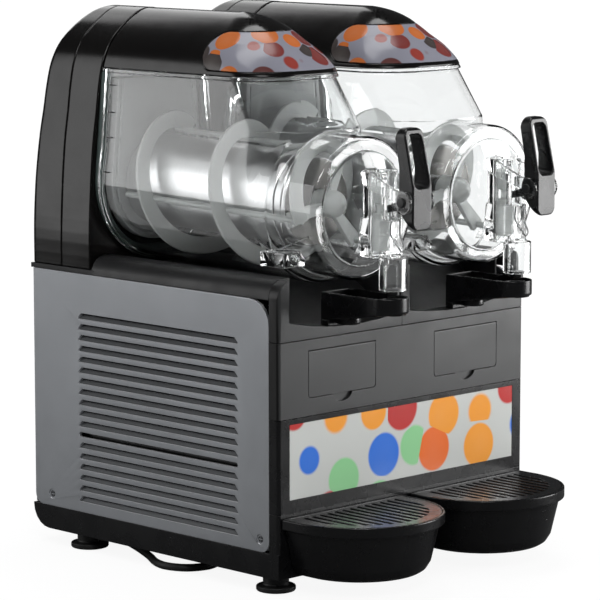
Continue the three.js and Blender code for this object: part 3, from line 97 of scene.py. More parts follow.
class Shader:
    """A principled material, kept by its name, and short calls for the nodes that feed it."""

    def __init__(self, name, color, roughness, metallic=0.0):
        MATERIALS[name] = self
        self.material = bpy.data.materials.new(name)
        self.material.use_nodes = True
        self.tree = self.material.node_tree
        self.tree.nodes.clear()
        self.out = self.node("ShaderNodeOutputMaterial")
        self.base = self.node("ShaderNodeBsdfPrincipled")
        self.link(self.base.outputs[0], self.out.inputs[0])
        self.set("Base Color", (*color, 1))
        self.set("Roughness", roughness)
        self.set("Metallic", metallic)
        self.where = self.node("ShaderNodeTexCoord").outputs["Object"]

    def node(self, kind, **settings):
        made = self.tree.nodes.new(kind)
        for key, value in settings.items():
            setattr(made, key, value)
        return made

    def link(self, a, b):
        self.tree.links.new(a, b)

    def set(self, key, value):
        self.base.inputs[key].default_value = value

    def scaled(self, scale, shift=(0, 0, 0)):
        mapping = self.node("ShaderNodeMapping")
        mapping.inputs["Scale"].default_value = scale
        mapping.inputs["Location"].default_value = shift
        self.link(self.where, mapping.inputs["Vector"])
        return mapping.outputs[0]

    def noise(self, scale, detail=3.0, stretch=None):
        made = self.node("ShaderNodeTexNoise")
        made.inputs["Scale"].default_value = scale
        made.inputs["Detail"].default_value = detail
        self.link(self.scaled(stretch) if stretch else self.where, made.inputs["Vector"])
        return made.outputs["Fac"]

    def spread(self, value, low, high, source=(0.3, 0.7)):
        made = self.node("ShaderNodeMapRange")
        made.inputs["From Min"].default_value = source[0]
        made.inputs["From Max"].default_value = source[1]
        made.inputs["To Min"].default_value = low
        made.inputs["To Max"].default_value = high
        self.link(value, made.inputs["Value"])
        return made.outputs[0]

    def mix(self, fac, a, b):
        made = self.node("ShaderNodeMix", data_type="RGBA")
        for socket, value in ((made.inputs[0], fac), (made.inputs[6], a), (made.inputs[7], b)):
            if isinstance(value, tuple):
                socket.default_value = (*value, 1)
            elif isinstance(value, float):
                socket.default_value = value
            else:
                self.link(value, socket)
        return made.outputs[2]

    def color(self, value):
        self.link(value, self.base.inputs["Base Color"])
        return self

    def over(self, share, color):
        """Lays another colour over the present one."""
        return self.color(self.mix(share, self.base.inputs["Base Color"].links[0].from_socket, color))

    def facing(self, axis):
        """How far the surface turns along one axis, from -1 to 1."""
        split = self.node("ShaderNodeSeparateXYZ")
        self.link(self.node("ShaderNodeTexCoord").outputs["Normal"], split.inputs[0])
        return split.outputs[axis]

    def wander(self, color, scale, detail, darker, lighter):
        """A slow change of tone over the piece."""
        ends = [tuple(min(c * factor, 1) for c in color) for factor in (darker, lighter)]
        return self.color(self.mix(self.spread(self.noise(scale, detail), 0, 1), *ends))

    def roughness(self, value):
        self.link(value, self.base.inputs["Roughness"])
        return self

    def bump(self, value, height, strength=1.0):
        made = self.node("ShaderNodeBump")
        made.inputs["Strength"].default_value = strength
        made.inputs["Distance"].default_value = height
        self.link(value, made.inputs["Height"])
        if self.base.inputs["Normal"].links:
            self.link(self.base.inputs["Normal"].links[0].from_socket, made.inputs["Normal"])
        self.link(made.outputs[0], self.base.inputs["Normal"])
        return self


def moulded(name, color, rough, grain=0.00006, scale=1600, vary=0.35):
    """Moulded plastic: a fine grain, and a slow wander in tone and gloss."""
    s = Shader(name, color, rough)
    s.wander(color, 9, 4, 1 - vary, 1 + vary)
    s.roughness(s.spread(s.noise(34, 5), rough * 0.86, rough * 1.16))
    s.bump(s.noise(scale, 2), grain)


def coated(name, color, rough, metallic):
    """A satin coat on sheet metal: fine orange peel, and a slow wander in tone and gloss."""
    s = Shader(name, color, rough, metallic)
    s.wander(color, 6, 3, 0.92, 1.10)
    s.roughness(s.spread(s.noise(60, 6), rough * 0.9, rough * 1.12))
    s.bump(s.noise(900, 2), 0.00004)
    return s


def painted_side_shade(s, other, axis, start):
    """Faces turned along one axis, either way, get another colour than the rest: painted shade on the faces that
    turn that way.
    """
    turned = s.node("ShaderNodeMath", operation="ABSOLUTE")
    s.link(s.facing(axis), turned.inputs[0])
    s.over(s.spread(turned.outputs[0], 0, 1, (start, start + 0.2)), other)


def painted_louver_light(s, painted_recess_shade, bright):
    """Painted shade on the sloping louver faces, darker than the coat, and a painted highlight on the edges that
    turn up.
    """
    up = s.facing("Z")
    s.over(s.spread(up, 0, 1, (0.35, 0.5)), painted_recess_shade)
    s.over(s.spread(up, 0, 1, (0.66, 0.8)), bright)


def circles(s, scale, size, palette, ground, plane=(1, 0, 1), seed=0.0):
    """Round spots in a few colours, one to a cell of an uneven grid, over a ground colour."""
    cells = s.node("ShaderNodeTexVoronoi")
    cells.inputs["Scale"].default_value = scale
    cells.inputs["Randomness"].default_value = 0.75
    s.link(s.scaled(plane, (seed, seed, seed)), cells.inputs["Vector"])
    pick = s.node("ShaderNodeSeparateColor")
    s.link(cells.outputs["Color"], pick.inputs[0])
    ramp = s.node("ShaderNodeValToRGB")
    ramp.color_ramp.interpolation = "CONSTANT"
    while len(ramp.color_ramp.elements) < len(palette):
        ramp.color_ramp.elements.new(0.5)
    for i, color in enumerate(palette):
        ramp.color_ramp.elements[i].position = i / len(palette)
        ramp.color_ramp.elements[i].color = (*color, 1)
    s.link(pick.outputs[0], ramp.inputs[0])
    radius = s.spread(pick.outputs[1], size * 0.6, size, (0, 1))
    rim = s.node("ShaderNodeMath", operation="SUBTRACT")
    s.link(cells.outputs["Distance"], rim.inputs[0])
    s.link(radius, rim.inputs[1])
    shade = s.mix(s.spread(rim.outputs[0], 0, 0.55, (-size, 0)), (1.0, 0.97, 0.9), ramp.outputs[0])
    body = s.mix(0.06, ramp.outputs[0], shade)
    return s.mix(s.spread(rim.outputs[0], 0, 1, (-0.02, 0.02)), body, ground)


# Plastics: colour, roughness and, where they aren't the usual ones, the grain's height in metres,
# its scale and the share by which the tone wanders
PLASTICS = {
    "black_plastic": ((0.004, 0.004, 0.0045), 0.27, {"grain": 0.00002}),
    "gloss_black": ((0.004, 0.0036, 0.0034), 0.17, {"grain": 0.000006, "scale": 500, "vary": 0.2}),
    "deck_black": ((0.011, 0.011, 0.0115), 0.44, {"grain": 0.00003}),
    "dark_panel": ((0.029, 0.0295, 0.030), 0.38, {"grain": 0.00002, "scale": 2200, "vary": 0.1}),
    "white_plastic": ((0.66, 0.68, 0.67), 0.34, {"vary": 0.04}),
    "grey_plastic": ((0.30, 0.31, 0.31), 0.5, {"vary": 0.1}),
    "rubber": ((0.010, 0.010, 0.010), 0.5, {"grain": 0.00008, "scale": 900}),
    "seal_rubber": ((0.05, 0.07, 0.065), 0.6, {}),
    "panel_white": ((0.66, 0.66, 0.61), 0.18, {"vary": 0.03}),
    "display_art": ((0.5, 0.5, 0.47), 0.16, {"vary": 0.02}),
    "lens_art": ((0.02, 0.015, 0.01), 0.20, {"grain": 0.000005, "vary": 0.02}),
}
FRUIT = [(0.70, 0.12, 0.005), (0.42, 0.008, 0.008), (0.75, 0.27, 0.01), (0.22, 0.52, 0.24),
         (0.008, 0.13, 0.58)]
BERRIES = [(0.14, 0.004, 0.003), (0.07, 0.003, 0.003), (0.45, 0.10, 0.004), (0.22, 0.012, 0.004),
           (0.02, 0.012, 0.012)]


def build_plastics():
    for name, (color, rough, more) in PLASTICS.items():
        moulded(name, color, rough, **more)
    MATERIALS["gloss_black"].set("Specular IOR Level", 0.36)
    # Painted shade: faces of the dark panels that turn sideways are nearly black.
    painted_side_shade(MATERIALS["dark_panel"], (0.003, 0.003, 0.003), "X", 0.6)
    white = MATERIALS["white_plastic"]
    white.set("Subsurface Weight", 0.5)
    white.set("Subsurface Radius", (0.006, 0.006, 0.006))
    white.set("Transmission Weight", 0.5)
    clear = Shader("clear_plastic", (0.98, 0.99, 0.99), 0.02)
    clear.set("Transmission Weight", 1.0)
    clear.set("IOR", 1.45)
    clear.bump(clear.noise(14, 2), 0.0006, 0.25)
    clear.roughness(clear.spread(clear.noise(60, 4), 0.0, 0.03))


def build_metals():
    # The grey steel's louvers get painted shade on their sloping faces and a painted highlight on their upturned
    # edges.
    painted_louver_light(coated("grey_steel", (0.37, 0.383, 0.403), 0.37, 0.7), (0.13, 0.135, 0.14), (0.98, 0.98, 1.0))
    coated("black_paint", (0.016, 0.016, 0.018), 0.42, 0.2)
    steel = Shader("steel", (0.56, 0.565, 0.57), 0.3, 1.0)
    lines = steel.noise(1, 6, stretch=(26, 1500, 26))
    steel.roughness(steel.spread(lines, 0.30, 0.42))
    steel.color(steel.mix(steel.spread(lines, 0, 1), (0.52, 0.525, 0.53), (0.66, 0.665, 0.67)))
    steel.bump(lines, 0.00002)
    # Painted shade: steel faces turned along y, such as the drum's ends, are dark.
    painted_side_shade(steel, (0.075, 0.073, 0.070), "Y", 0.8)
    # Near black: painted shade for the cabinet's inside, which shows through the louvers.
    fins = Shader("condenser_metal", (0.03, 0.03, 0.032), 0.5, 0.4)
    fins.bump(fins.noise(1, 2, stretch=(20, 900, 20)), 0.0004)
    fins.roughness(fins.spread(fins.noise(50), 0.3, 0.5))


def build_artwork():
    """The lit sign and the visor windows: a generic pattern of spots."""
    art = MATERIALS["display_art"]
    spots = circles(art, 17, 0.56, FRUIT, (0.50, 0.51, 0.49), seed=0.31)
    art.color(spots)
    art.link(spots, art.base.inputs["Emission Color"])
    art.set("Emission Strength", 0.10)
    lens = MATERIALS["lens_art"]
    lens.set("Specular IOR Level", 0.3)
    lens.color(circles(lens, 34, 0.60, BERRIES, (0.22, 0.22, 0.26), plane=(1, 1, 1), seed=0.12))


build_plastics()
build_metals()
build_artwork()


def dress(obj, name):
    material = MATERIALS[name].material
    obj.data.materials.clear()
    obj.data.materials.append(material)


def dress_nodes():
    for row in frame["record"]["subparts"]:
        dress(nodes[row["node"]], row["material_slot"])


dress_nodes()
dress(nodes["display_window"], "display_art")
dress(nodes["top_deck"], "deck_black")


# Geometry in millimetres: x from the unit's centre, m behind the front panels, z up
WALL = 3.0
AXIS_Z = 422.0
SLOPE = 0.0305
COS, SIN = math.cos(math.atan(SLOPE)), math.sin(math.atan(SLOPE))
BASE, RIM, TOP, CASE = 331.0, 561.0, 628.0, 411.6
PIN_M, PIN_Z = -106.0, 434.5
VALVE_M, SPOUT_M = -57.0, -76.5
ARCH_HALF, ARCH_MID = 97.0, 470.0
PITCH = 119.3
COARSE = 1.0


def smooth_min(a, b, k):
    """The union of two distances, with a fillet of about k where they meet."""
    h = np.clip(0.5 + 0.5 * (b - a) / k, 0, 1)
    return b * (1 - h) + a * h - k * h * (1 - h)


def smooth_max(a, b, k):
    """The part that two distances share, with a round of about k."""
    return -smooth_min(-a, -b, k)


def slab(v, low, high):
    return np.maximum(low - v, v - high)


def rounded(qu, qv, radius):
    """The distance to a round corner, from how far a place lies past the two sides that meet there."""
    return np.hypot(np.maximum(qu, 0), np.maximum(qv, 0)) + np.minimum(np.maximum(qu, qv), 0) - radius


def rounded_box(u, v, low, high, radius):
    """The distance to a rectangle with round corners; low and high are its corners."""
    qu = np.abs(u - (low[0] + high[0]) / 2) - (high[0] - low[0]) / 2 + radius
    qv = np.abs(v - (low[1] + high[1]) / 2) - (high[1] - low[1]) / 2 + radius
    return rounded(qu, qv, radius)


def polygon(u, v, points):
    """The distance to a closed outline, below zero inside it."""
    u, v = np.broadcast_arrays(u, v)
    best = np.full(u.shape, 1e9)
    inside = np.zeros(u.shape, bool)
    for (a, b), (c, d) in zip(points, points[1:] + points[:1]):
        du, dv = c - a, d - b
        t = np.clip(((u - a) * du + (v - b) * dv) / (du * du + dv * dv), 0, 1)
        best = np.minimum(best, np.hypot(u - a - du * t, v - b - dv * t))
        inside ^= ((b > v) != (d > v)) & (u < a + (v - b) * du / (dv if dv else 1e-9))
    return np.where(inside, -best, best)


def net(field, axes):
    """A surface net: the vertices, their normals and the quads where field is zero on a grid of cells."""
    axes = [np.asarray(a, float) for a in axes]
    f = field(*np.meshgrid(*axes, indexing="ij", sparse=True)).astype(np.float32)
    inside = f < 0
    count = sum(inside[i:i + f.shape[0] - 1, j:j + f.shape[1] - 1, k:k + f.shape[2] - 1].astype(np.int8)
                for i in (0, 1) for j in (0, 1) for k in (0, 1))
    active = (count > 0) & (count < 8)
    index = np.full(active.shape, -1, np.int64)
    cell = np.nonzero(active)
    index[active] = np.arange(len(cell[0]))
    spots, hits = np.zeros((len(cell[0]), 3)), np.zeros(len(cell[0]))
    for axis in range(3):
        for p in (0, 1):
            for q in (0, 1):
                a = [p, q]
                a.insert(axis, 0)
                b = list(a)
                b[axis] = 1
                ia = tuple(cell[k] + a[k] for k in range(3))
                ib = tuple(cell[k] + b[k] for k in range(3))
                fa, fb = f[ia].astype(float), f[ib].astype(float)
                cross = (fa < 0) != (fb < 0)
                t = np.where(cross, fa / np.where(cross, fa - fb, 1), 0)
                for k in range(3):
                    va, vb = axes[k][ia[k]], axes[k][ib[k]]
                    spots[:, k] += np.where(cross, va + (vb - va) * t, 0)
                hits += cross
    spots /= hits[:, None]
    quads = []
    for axis in range(3):
        u, v = (axis + 1) % 3, (axis + 2) % 3
        low = [slice(1, n - 1) for n in f.shape]
        low[axis] = slice(0, f.shape[axis] - 1)
        high = list(low)
        high[axis] = slice(1, f.shape[axis])
        a, b = inside[tuple(low)], inside[tuple(high)]
        where = list(np.nonzero(a != b))
        out = a[tuple(where)]
        for k in (u, v):
            where[k] = where[k] + 1
        corner = []
        for du, dv in ((-1, -1), (0, -1), (0, 0), (-1, 0)):
            spot = list(where)
            spot[u] = where[u] + du
            spot[v] = where[v] + dv
            corner.append(index[tuple(spot)])
        quad = np.stack(corner, 1)
        quads.append(np.where(out[:, None], quad, quad[:, ::-1]))
    quads = np.concatenate(quads)
    step = 0.2

    def slope(p):
        g = np.empty_like(p)
        for k in range(3):
            d = np.zeros(3)
            d[k] = step
            g[:, k] = (field(*(p + d).T) - field(*(p - d).T)) / (2 * step)
        return g

    for _ in range(3):
        g = slope(spots)
        away = field(*spots.T) / np.maximum((g * g).sum(1), 0.05)
        move = g * away[:, None]
        length = np.linalg.norm(move, axis=1)
        spots -= move * np.minimum(1, 1.2 / np.maximum(length, 1e-9))[:, None]
    g = slope(spots)
    return spots, g / np.maximum(np.linalg.norm(g, axis=1), 1e-9)[:, None], quads


def steps(*pairs):
    """Grid lines: each pair is the next stretch's end and its step, after the first number."""
    lines = [pairs[0]]
    for end, step in pairs[1:]:
        count = max(round((end - lines[-1]) / (step * COARSE)), 1)
        lines.extend(lines[-1] + (end - lines[-1]) * np.arange(1, count + 1) / count)
    return np.array(lines)


def to_mesh(name, spots, faces, normals=None):
    """A smooth mesh, in metres, from points in the unit's millimetres."""
    mesh = bpy.data.meshes.new(name)
    world = np.asarray(spots, float) / 1000 + np.array([0, FRONT, 0])
    mesh.from_pydata(world.tolist(), [], [list(f) for f in faces])
    mesh.polygons.foreach_set("use_smooth", [True] * len(mesh.polygons))
    if normals is not None:
        mesh.normals_split_custom_set_from_vertices(normals.tolist())
    mesh.update()
    return mesh


def net_mesh(name, field, *axes):
    spots, normals, quads = net(field, axes)
    return to_mesh(name, spots, quads.tolist(), normals)


def sweep(rings):
    """A closed skin over rings of equally many points, with flat ends."""
    rings = np.asarray(rings, float)
    n, k = rings.shape[:2]
    faces = [(r * k + i, r * k + (i + 1) % k, (r + 1) * k + (i + 1) % k, (r + 1) * k + i)
             for r in range(n - 1) for i in range(k)]
    faces.append(tuple(range(k))[::-1])
    faces.append(tuple((n - 1) * k + i for i in range(k)))
    spots = rings.reshape(-1, 3)
    volume = sum(np.dot(spots[f[0]], np.cross(spots[f[i]], spots[f[i + 1]]))
                 for f in faces for i in range(1, len(f) - 1))
    return spots, faces if volume > 0 else [f[::-1] for f in faces]


def lathe(profile, count=64):
    """A profile of radius and distance turned round the y axis, open at neither end."""
    angles = np.arange(count) * 2 * math.pi / count
    return sweep([np.stack([r * np.cos(angles), np.full(count, float(t)), -r * np.sin(angles)], 1)
                  for r, t in profile])


def joined(*parts):
    """Several skins as one list of points and faces."""
    spots, faces = [], []
    for more, quads in parts:
        start = sum(len(s) for s in spots)
        spots.append(np.asarray(more, float))
        faces.extend(tuple(i + start for i in f) for f in quads)
    return np.concatenate(spots), faces


def moved(part, shift):
    return np.asarray(part[0], float) + np.array(shift, float), part[1]


def upright(part):
    """A turned piece with its axis along z instead of y."""
    s = np.asarray(part[0], float)
    return np.stack([s[:, 0], -s[:, 2], s[:, 1]], 1), part[1]


def crosswise(part):
    """A turned piece with its axis along x instead of y."""
    s = np.asarray(part[0], float)
    return np.stack([s[:, 1], -s[:, 0], s[:, 2]], 1), part[1]


def leaned(part):
    """From the barrel's frame, whose axis leans down to the front, to the unit's."""
    x, y, h = np.asarray(part[0], float).T
    return np.stack([x, COS * y - SIN * h, AXIS_Z + SIN * y + COS * h], 1), part[1]


def tube(points, radius, sides=14):
    """A round skin along closely spaced points."""
    points = np.asarray(points, float)
    ahead = np.gradient(points, axis=0)
    ahead /= np.linalg.norm(ahead, axis=1)[:, None]
    normal = np.cross(ahead[0], (0.31, 0.52, 0.79))
    angles = np.arange(sides) * 2 * math.pi / sides
    rings = []
    for spot, way in zip(points, ahead):
        normal = normal - way * normal.dot(way)
        normal /= np.linalg.norm(normal)
        side = np.cross(way, normal)
        rings.append(spot + radius * (np.outer(np.cos(angles), normal) + np.outer(np.sin(angles), side)))
    return sweep(rings)


def through(spots, per):
    """A centripetal curve through spots, with per steps between two of them."""
    p = np.asarray(spots, float)
    p = np.concatenate([[2 * p[0] - p[1]], p, [2 * p[-1] - p[-2]]])
    out = [p[1]]
    for i in range(1, len(p) - 2):
        a, b, c, d = p[i - 1:i + 3]
        t0, t1, t2 = (math.sqrt(np.linalg.norm(w - v)) for v, w in ((a, b), (b, c), (c, d)))
        s1 = ((b - a) / t0 - (c - a) / (t0 + t1) + (c - b) / t1) * t1
        s2 = ((c - b) / t1 - (d - b) / (t1 + t2) + (d - c) / t2) * t1
        for k in range(1, per + 1):
            t = k / per
            out.append(b + s1 * t + (3 * (c - b) - 2 * s1 - s2) * t * t + (2 * (b - c) + s1 + s2) * t ** 3)
    return np.array(out)


def add(name, mesh, x, body, slot, *replaced, y=0.0, z=0.0):
    """A piece of the scene, set at x, y, z in metres, on its body and in its material."""
    obj = bpy.data.objects.new(name, mesh)
    bpy.context.scene.collection.objects.link(obj)
    obj.location = (x, y, z)
    if not mesh.materials:
        mesh.materials.append(MATERIALS[slot].material)
    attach(obj, body)
    if replaced:
        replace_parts(obj, *replaced)
    return obj


def pair(name, mesh, body, slot, node=None, edges=None):
    """The same piece on the left and the right unit; edges is what soften() takes."""
    for side, x in SIDES.items():
        replaced = [f"{node}_{side}"] if node else []
        obj = add(f"{name}_{side}", mesh, x, body if body == "machine" else f"{body}_{side}", slot, *replaced)
        if edges:
            soften(obj, *edges)


def soften(obj, width, segments=2, angle=35):
    """Small rounds on the sharp edges, with even shading on the flats between them."""
    weld = obj.modifiers.new("weld", "WELD")
    weld.merge_threshold = 0.00001
    bevel = obj.modifiers.new("rounds", "BEVEL")
    bevel.width = width / 1000
    bevel.segments = segments
    bevel.limit_method = "ANGLE"
    bevel.angle_limit = math.radians(angle)
    bevel.use_clamp_overlap = True
    even = obj.modifiers.new("even", "WEIGHTED_NORMAL")
    even.keep_sharp = False


# Cord
CORD_D = 9.0
CORD_SPOTS = [
    (-100, 433.9, 82), (-100, 450, 81.5), (-101, 474, 73), (-103, 487, 50), (-105, 483, 27), (-108, 464, 10.4),
    (-111, 440, 5.1), (-118, 400, 4.7), (-130, 350, 4.5), (-150, 292, 4.5), (-176, 236, 4.5), (-193, 205, 4.5),
    (-197, 184, 4.5), (-187, 161, 4.5), (-163, 151, 4.5), (-139, 161, 4.5), (-129, 186, 4.5), (-121, 222, 4.5),
    (-103, 272, 4.5), (-70, 338, 4.5), (-33, 396, 4.5), (4, 434, 4.5), (44, 448, 4.5), (86.7, 448.725, 4.5),
]


def coil_points():
    """The coil's centre line: a spiral in, a climb, a spiral out and a straight tail."""
    points = [(87, 448.725, 4.5)]
    for i in range(73):
        t = i / 24
        radius = 56.275 - 9.7 * min(t, 3 - t)
        climb = min(max((t - 1.5) * 2 + 0.5, 0), 1)
        angle = 2 * math.pi * t - math.pi / 2
        points.append((96 + radius * math.cos(angle), 505 + radius * math.sin(angle), 4.5 + 9.7 * climb))
    return points + [(123, 448.725, 14.2), (150, 448.725, 14.2)]


def make_cord():
    route = np.concatenate([through(CORD_SPOTS, 4), coil_points()])
    data = bpy.data.curves.new("power_cord", "CURVE")
    data.dimensions = "3D"
    data.bevel_depth = CORD_D / 2000
    data.bevel_resolution = 5
    data.use_fill_caps = True
    line = data.splines.new("POLY")
    line.points.add(len(route) - 1)
    for point, (x, m, z) in zip(line.points, route):
        point.co = (*mm(x, m, z), 1)
    line.use_smooth = True
    obj = bpy.data.objects.new("power_cord", data)
    bpy.context.scene.collection.objects.link(obj)
    data.materials.append(MATERIALS["rubber"].material)
    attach(obj, "machine")
    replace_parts(obj, "cord", "cord_coil")
    return obj, float(np.linalg.norm(np.diff(route, axis=0), axis=1).sum()) / 1000


def make_plug():
    """The moulded plug: a ribbed boot, a rounded block, two blades and an earth pin."""
    m, z = 448.725, 14.2

    def body(x, y, h):
        r = np.hypot(y - m, h - z)
        boot = smooth_max(r - 6.4 - 0.6 * np.cos((x - 150.3) * 2 * math.pi / 3.5), slab(x, 150.3, 168), 0.6)
        block = rounded_box(y, h, (m - 13, z - 14.2), (m + 13, z + 14.2), 6.5)
        block = smooth_max(block, slab(x, 164.3, 198.3), 3.0)
        grip = np.hypot(x - 181, np.abs(y - m) - 22.5) - 11.5
        return smooth_max(smooth_min(boot, block, 2.0), -grip, 1.5)

    block = net_mesh("mains_plug", body, steps(148, (200, 1.0)), steps(434, (464, 1.0)), steps(-2, (30, 1.0)))
    obj = add("mains_plug", block, 0, "machine", "rubber", "plug")
    blade = crosswise(lathe([(2.2, 198), (2.2, 215.3), (1.4, 216.3)], 20))
    earth = crosswise(lathe([(2.8, 198), (2.8, 215.1), (2.0, 216.3)], 24))
    pins = [moved(blade, (0, m - 4.5, z)), moved(blade, (0, m + 4.5, z)), moved(earth, (0, m, z + 4.5))]
    add("plug_pins", to_mesh("plug_pins", *joined(*pins)), 0, "machine", "steel")
    return obj


cord, cord_length = make_cord()
plug = make_plug()


# The bowls
def hopper_section(x, z, inset):
    """The round bottom with walls that lean in above it."""
    radius, reach, rise = 88.0 - inset, 75.0 - inset, 139.0
    touch = math.atan2(rise, reach) - math.acos(radius / math.hypot(reach, rise))
    wide = np.abs(x)
    lean = wide * math.cos(touch) + z * math.sin(touch) - radius
    return np.where(z * math.cos(touch) > wide * math.sin(touch), lean, np.hypot(wide, z) - radius)


def bowl_solid(x, y, z, inset):
    """The bowl's outer or inner form in the barrel's frame: a hopper, a barrel and its nose."""
    front = 22 + inset + np.maximum(z - 80, 0) * 0.678
    across = 88.0 - inset - np.maximum(z, 0) * 0.0925
    corner = 54.0 - inset
    plan = rounded(np.abs(x) - across + corner, front + corner - y, corner)
    hopper = smooth_max(hopper_section(x, z, inset), plan * 0.86, 2.0)
    r = np.hypot(x, z)
    shoulder = np.clip((y - 17) / 16, 0, 1)
    radius = 79 + 9 * shoulder * shoulder * (3 - 2 * shoulder) - inset
    dish = 12 * np.clip(1 - (r / 63) ** 2, 0, 1) + 1.6 * np.clip((63.8 - r) / 1.4, 0, 1)
    face = -32 - dish - y + inset
    barrel = smooth_max(r - radius, face * 0.95, 4.5 if inset == 0 else 3.0)
    return smooth_min(hopper, barrel, 5.0)


EAR = [(-106, 434.5), (-92, 434.5), (-65.9, 443), (-48.1, 450), (-45, 464), (-57, 464), (-99, 446.6)]


def tap_solid(x, m, z):
    """The tap body: a valve tube, a square housing, the spout and two ears."""
    tube = smooth_max(np.hypot(x, m - VALVE_M) - 17.8, slab(z, 371, 464), 1.2)
    block = smooth_max(rounded_box(x, m, (-17, -78), (17, -40), 6), slab(z, 371, 413), 1.5)
    spout = smooth_max(np.hypot(x, m - SPOUT_M) - 15.7, slab(z, 336, 372), 1.2)
    collar = smooth_max(np.hypot(x, m - VALVE_M) - 18.7, slab(z, 458, 463.6), 0.8)
    ear = smooth_min(np.hypot(m - PIN_M, z - PIN_Z) - 13, polygon(m, z, EAR), 3.0)
    ears = smooth_max(ear, slab(np.abs(x), 15.6, 19), 0.8)
    body = smooth_min(smooth_min(tube, block, 2.0), smooth_min(spout, collar, 0.6), 2.0)
    return smooth_min(body, ears, 1.0)


def bowl_shell(x, m, z):
    """The bowl's wall with its rim, rear flange, lugs and tap, and the tap's bores."""
    y = COS * m + SIN * (z - AXIS_Z)
    h = -SIN * m + COS * (z - AXIS_Z)
    outer = bowl_solid(x, y, h, 0.0)
    rim = smooth_max(outer - 3.3, slab(z, RIM - 4, RIM), 0.8)
    flange = smooth_max(outer - 3.3, slab(m, 296, 300), 0.8)
    body = smooth_min(smooth_min(outer, rim, 1.0), flange, 1.0)
    body = smooth_min(body, tap_solid(x, m, z), 2.0)
    lug = np.maximum(rounded_box(np.abs(x), m, (55, 2), (87, 42), 3), slab(z, 360, 376))
    body = smooth_min(body, lug, 1.5)
    body = smooth_max(body, -bowl_solid(x, y, h, WALL), 0.6)
    body = smooth_max(body, z - RIM, 0.5)
    bore = np.maximum(np.hypot(x, m - VALVE_M) - 9, slab(z, 370.6, 480))
    way = np.maximum(np.maximum(np.abs(x) - 6, slab(m, -130, -57)), slab(z, 411, 480))
    port = np.maximum(np.hypot(x, z - 387) - 7.5, slab(m, -57, -20))
    drop = np.maximum(np.hypot(x, m - SPOUT_M) - 11, slab(z, 300, 374.7))
    link = np.maximum(np.maximum(np.abs(x) - 5.5, slab(m, -76.5, -57)), slab(z, 363, 378.5))
    pin = np.hypot(m - PIN_M, z - PIN_Z) - 3.3
    for hole in (bore, way, port, drop, link, pin):
        body = smooth_max(body, -hole, 0.5)
    return np.maximum(body, m - 300)


def make_bowls():
    mesh = net_mesh("bowl", bowl_shell, steps(-98, (-20, 1.6), (20, 1.0), (98, 1.6)),
                    steps(-124, (-100, 1.0), (-28, 1.2), (112, 1.25), (140, 1.8), (290, 3.5), (303, 1.2)),
                    steps(330, (466, 1.4), (565, 1.2)))
    pair("clear_bowl", mesh, "bowl", "clear_plastic", "bowl")


def skin_x(m, z):
    """How far a bowl's skin lies from its middle plane at one place."""
    low, high = 30.0, 100.0
    for _ in range(30):
        wide = (low + high) / 2
        inside = bowl_solid(wide, COS * m + SIN * (z - AXIS_Z), -SIN * m + COS * (z - AXIS_Z), 0.0) < 0
        low, high = (wide, high) if inside else (low, wide)
    return low


def brick(low, high):
    """A block between two corners."""
    rings = [[(low[0], m, low[2]), (high[0], m, low[2]), (high[0], m, high[2]), (low[0], m, high[2])]
             for m in (low[1], high[1])]
    return sweep(rings)


def make_marks():
    """Level ticks by the rear flange, the parting line of the nose and the nozzle under the spout."""
    ticks = [brick((-skin_x(290, z) - 0.35, 284, z - 0.7), (-skin_x(290, z) + 0.6, 295, z + 0.7))
             for z in (542.7, 511.8, 483.3, 444.1)]
    ticks = to_mesh("level_ticks", *joined(*ticks))
    line = [(-skin_x(m, 376 + (33 - m) * 0.36), m, 376 + (33 - m) * 0.36) for m in np.linspace(33, -22, 12)]
    seam = to_mesh("parting_line", *tube(through(line, 3), 0.8, 10))
    nozzle = lathe([(4.5, 330), (6.2, 330), (7, 330.8), (7, 336), (8.5, 336.4), (8.5, 338), (4.5, 338)], 40)
    nozzle = to_mesh("nozzle", *moved(upright(nozzle), (0, SPOUT_M, 0)))
    pair("level_ticks", ticks, "bowl", "black_plastic", edges=(0.2, 1))
    pair("parting_line", seam, "bowl", "clear_plastic")
    pair("nozzle", nozzle, "bowl", "black_plastic", edges=(0.2, 1))


def screw_head(x, y, z):
    """A domed head with a cross slot, looking along y."""
    dome = smooth_max(np.sqrt(x * x + z * z + (y + 7) ** 2) - 9, np.hypot(x, z) - 5, 0.5)
    cross = np.minimum(np.maximum(np.abs(x) - 0.7, np.abs(z) - 3), np.maximum(np.abs(z) - 0.7, np.abs(x) - 3))
    return smooth_max(np.maximum(dome, -1 - y), -np.maximum(cross, 0.6 - y), 0.2)


def make_screws():
    even = steps(-6, (6, 0.4))
    spots, _, quads = net(screw_head, (even, steps(-2, (3, 0.4)), even))
    x, y, z = spots.T
    faces = [tuple(f)[::-1] for f in quads.tolist()]
    for side, sign in (("left", -1), ("right", 1)):
        heads = [(np.stack([sign * (y + 197.6), sign * x + m, z + 60], 1), faces) for m in (378, 29)]
        mesh = to_mesh("screws", *joined(*heads))
        add(f"panel_screws_{side}", mesh, 0, "machine", "black_paint")


def make_shade_plates():
    """Dark plates inside the cabinet, which show behind the louvers: sheets put there as painted shade, which also
    stop light through the slits.
    """
    for side, low in (("left", -190), ("right", 188.5)):
        plate = to_mesh(f"shade_plate_mesh_{side}", *brick((low, 18, 60), (low + 1.5, 395, 318)))
        soften(add(f"painted_shade_plate_{side}", plate, 0, "machine", "black_plastic"), 0.3, 1)


# The towers: columns, rear covers and lids
ARCH = [(0, 1), (0.12, 1), (0.28, 0.979), (0.46, 0.941), (0.61, 0.871), (0.745, 0.815), (0.832, 0.738),
        (0.885, 0.622), (0.95, 0.402), (0.992, 0.16), (1, 0)]
LEAN = [(0, 0), (0.28, 0), (0.45, 0.115), (0.7, 0.33), (0.79, 0.45), (0.88, 0.7), (0.96, 1.05), (1, 1.6)]
VISOR = [(0, 0), (0.07, 0.02), (0.3, 0.16), (0.5, 0.31), (0.65, 0.445), (0.8, 0.6), (0.91, 0.78), (1, 1.05)]


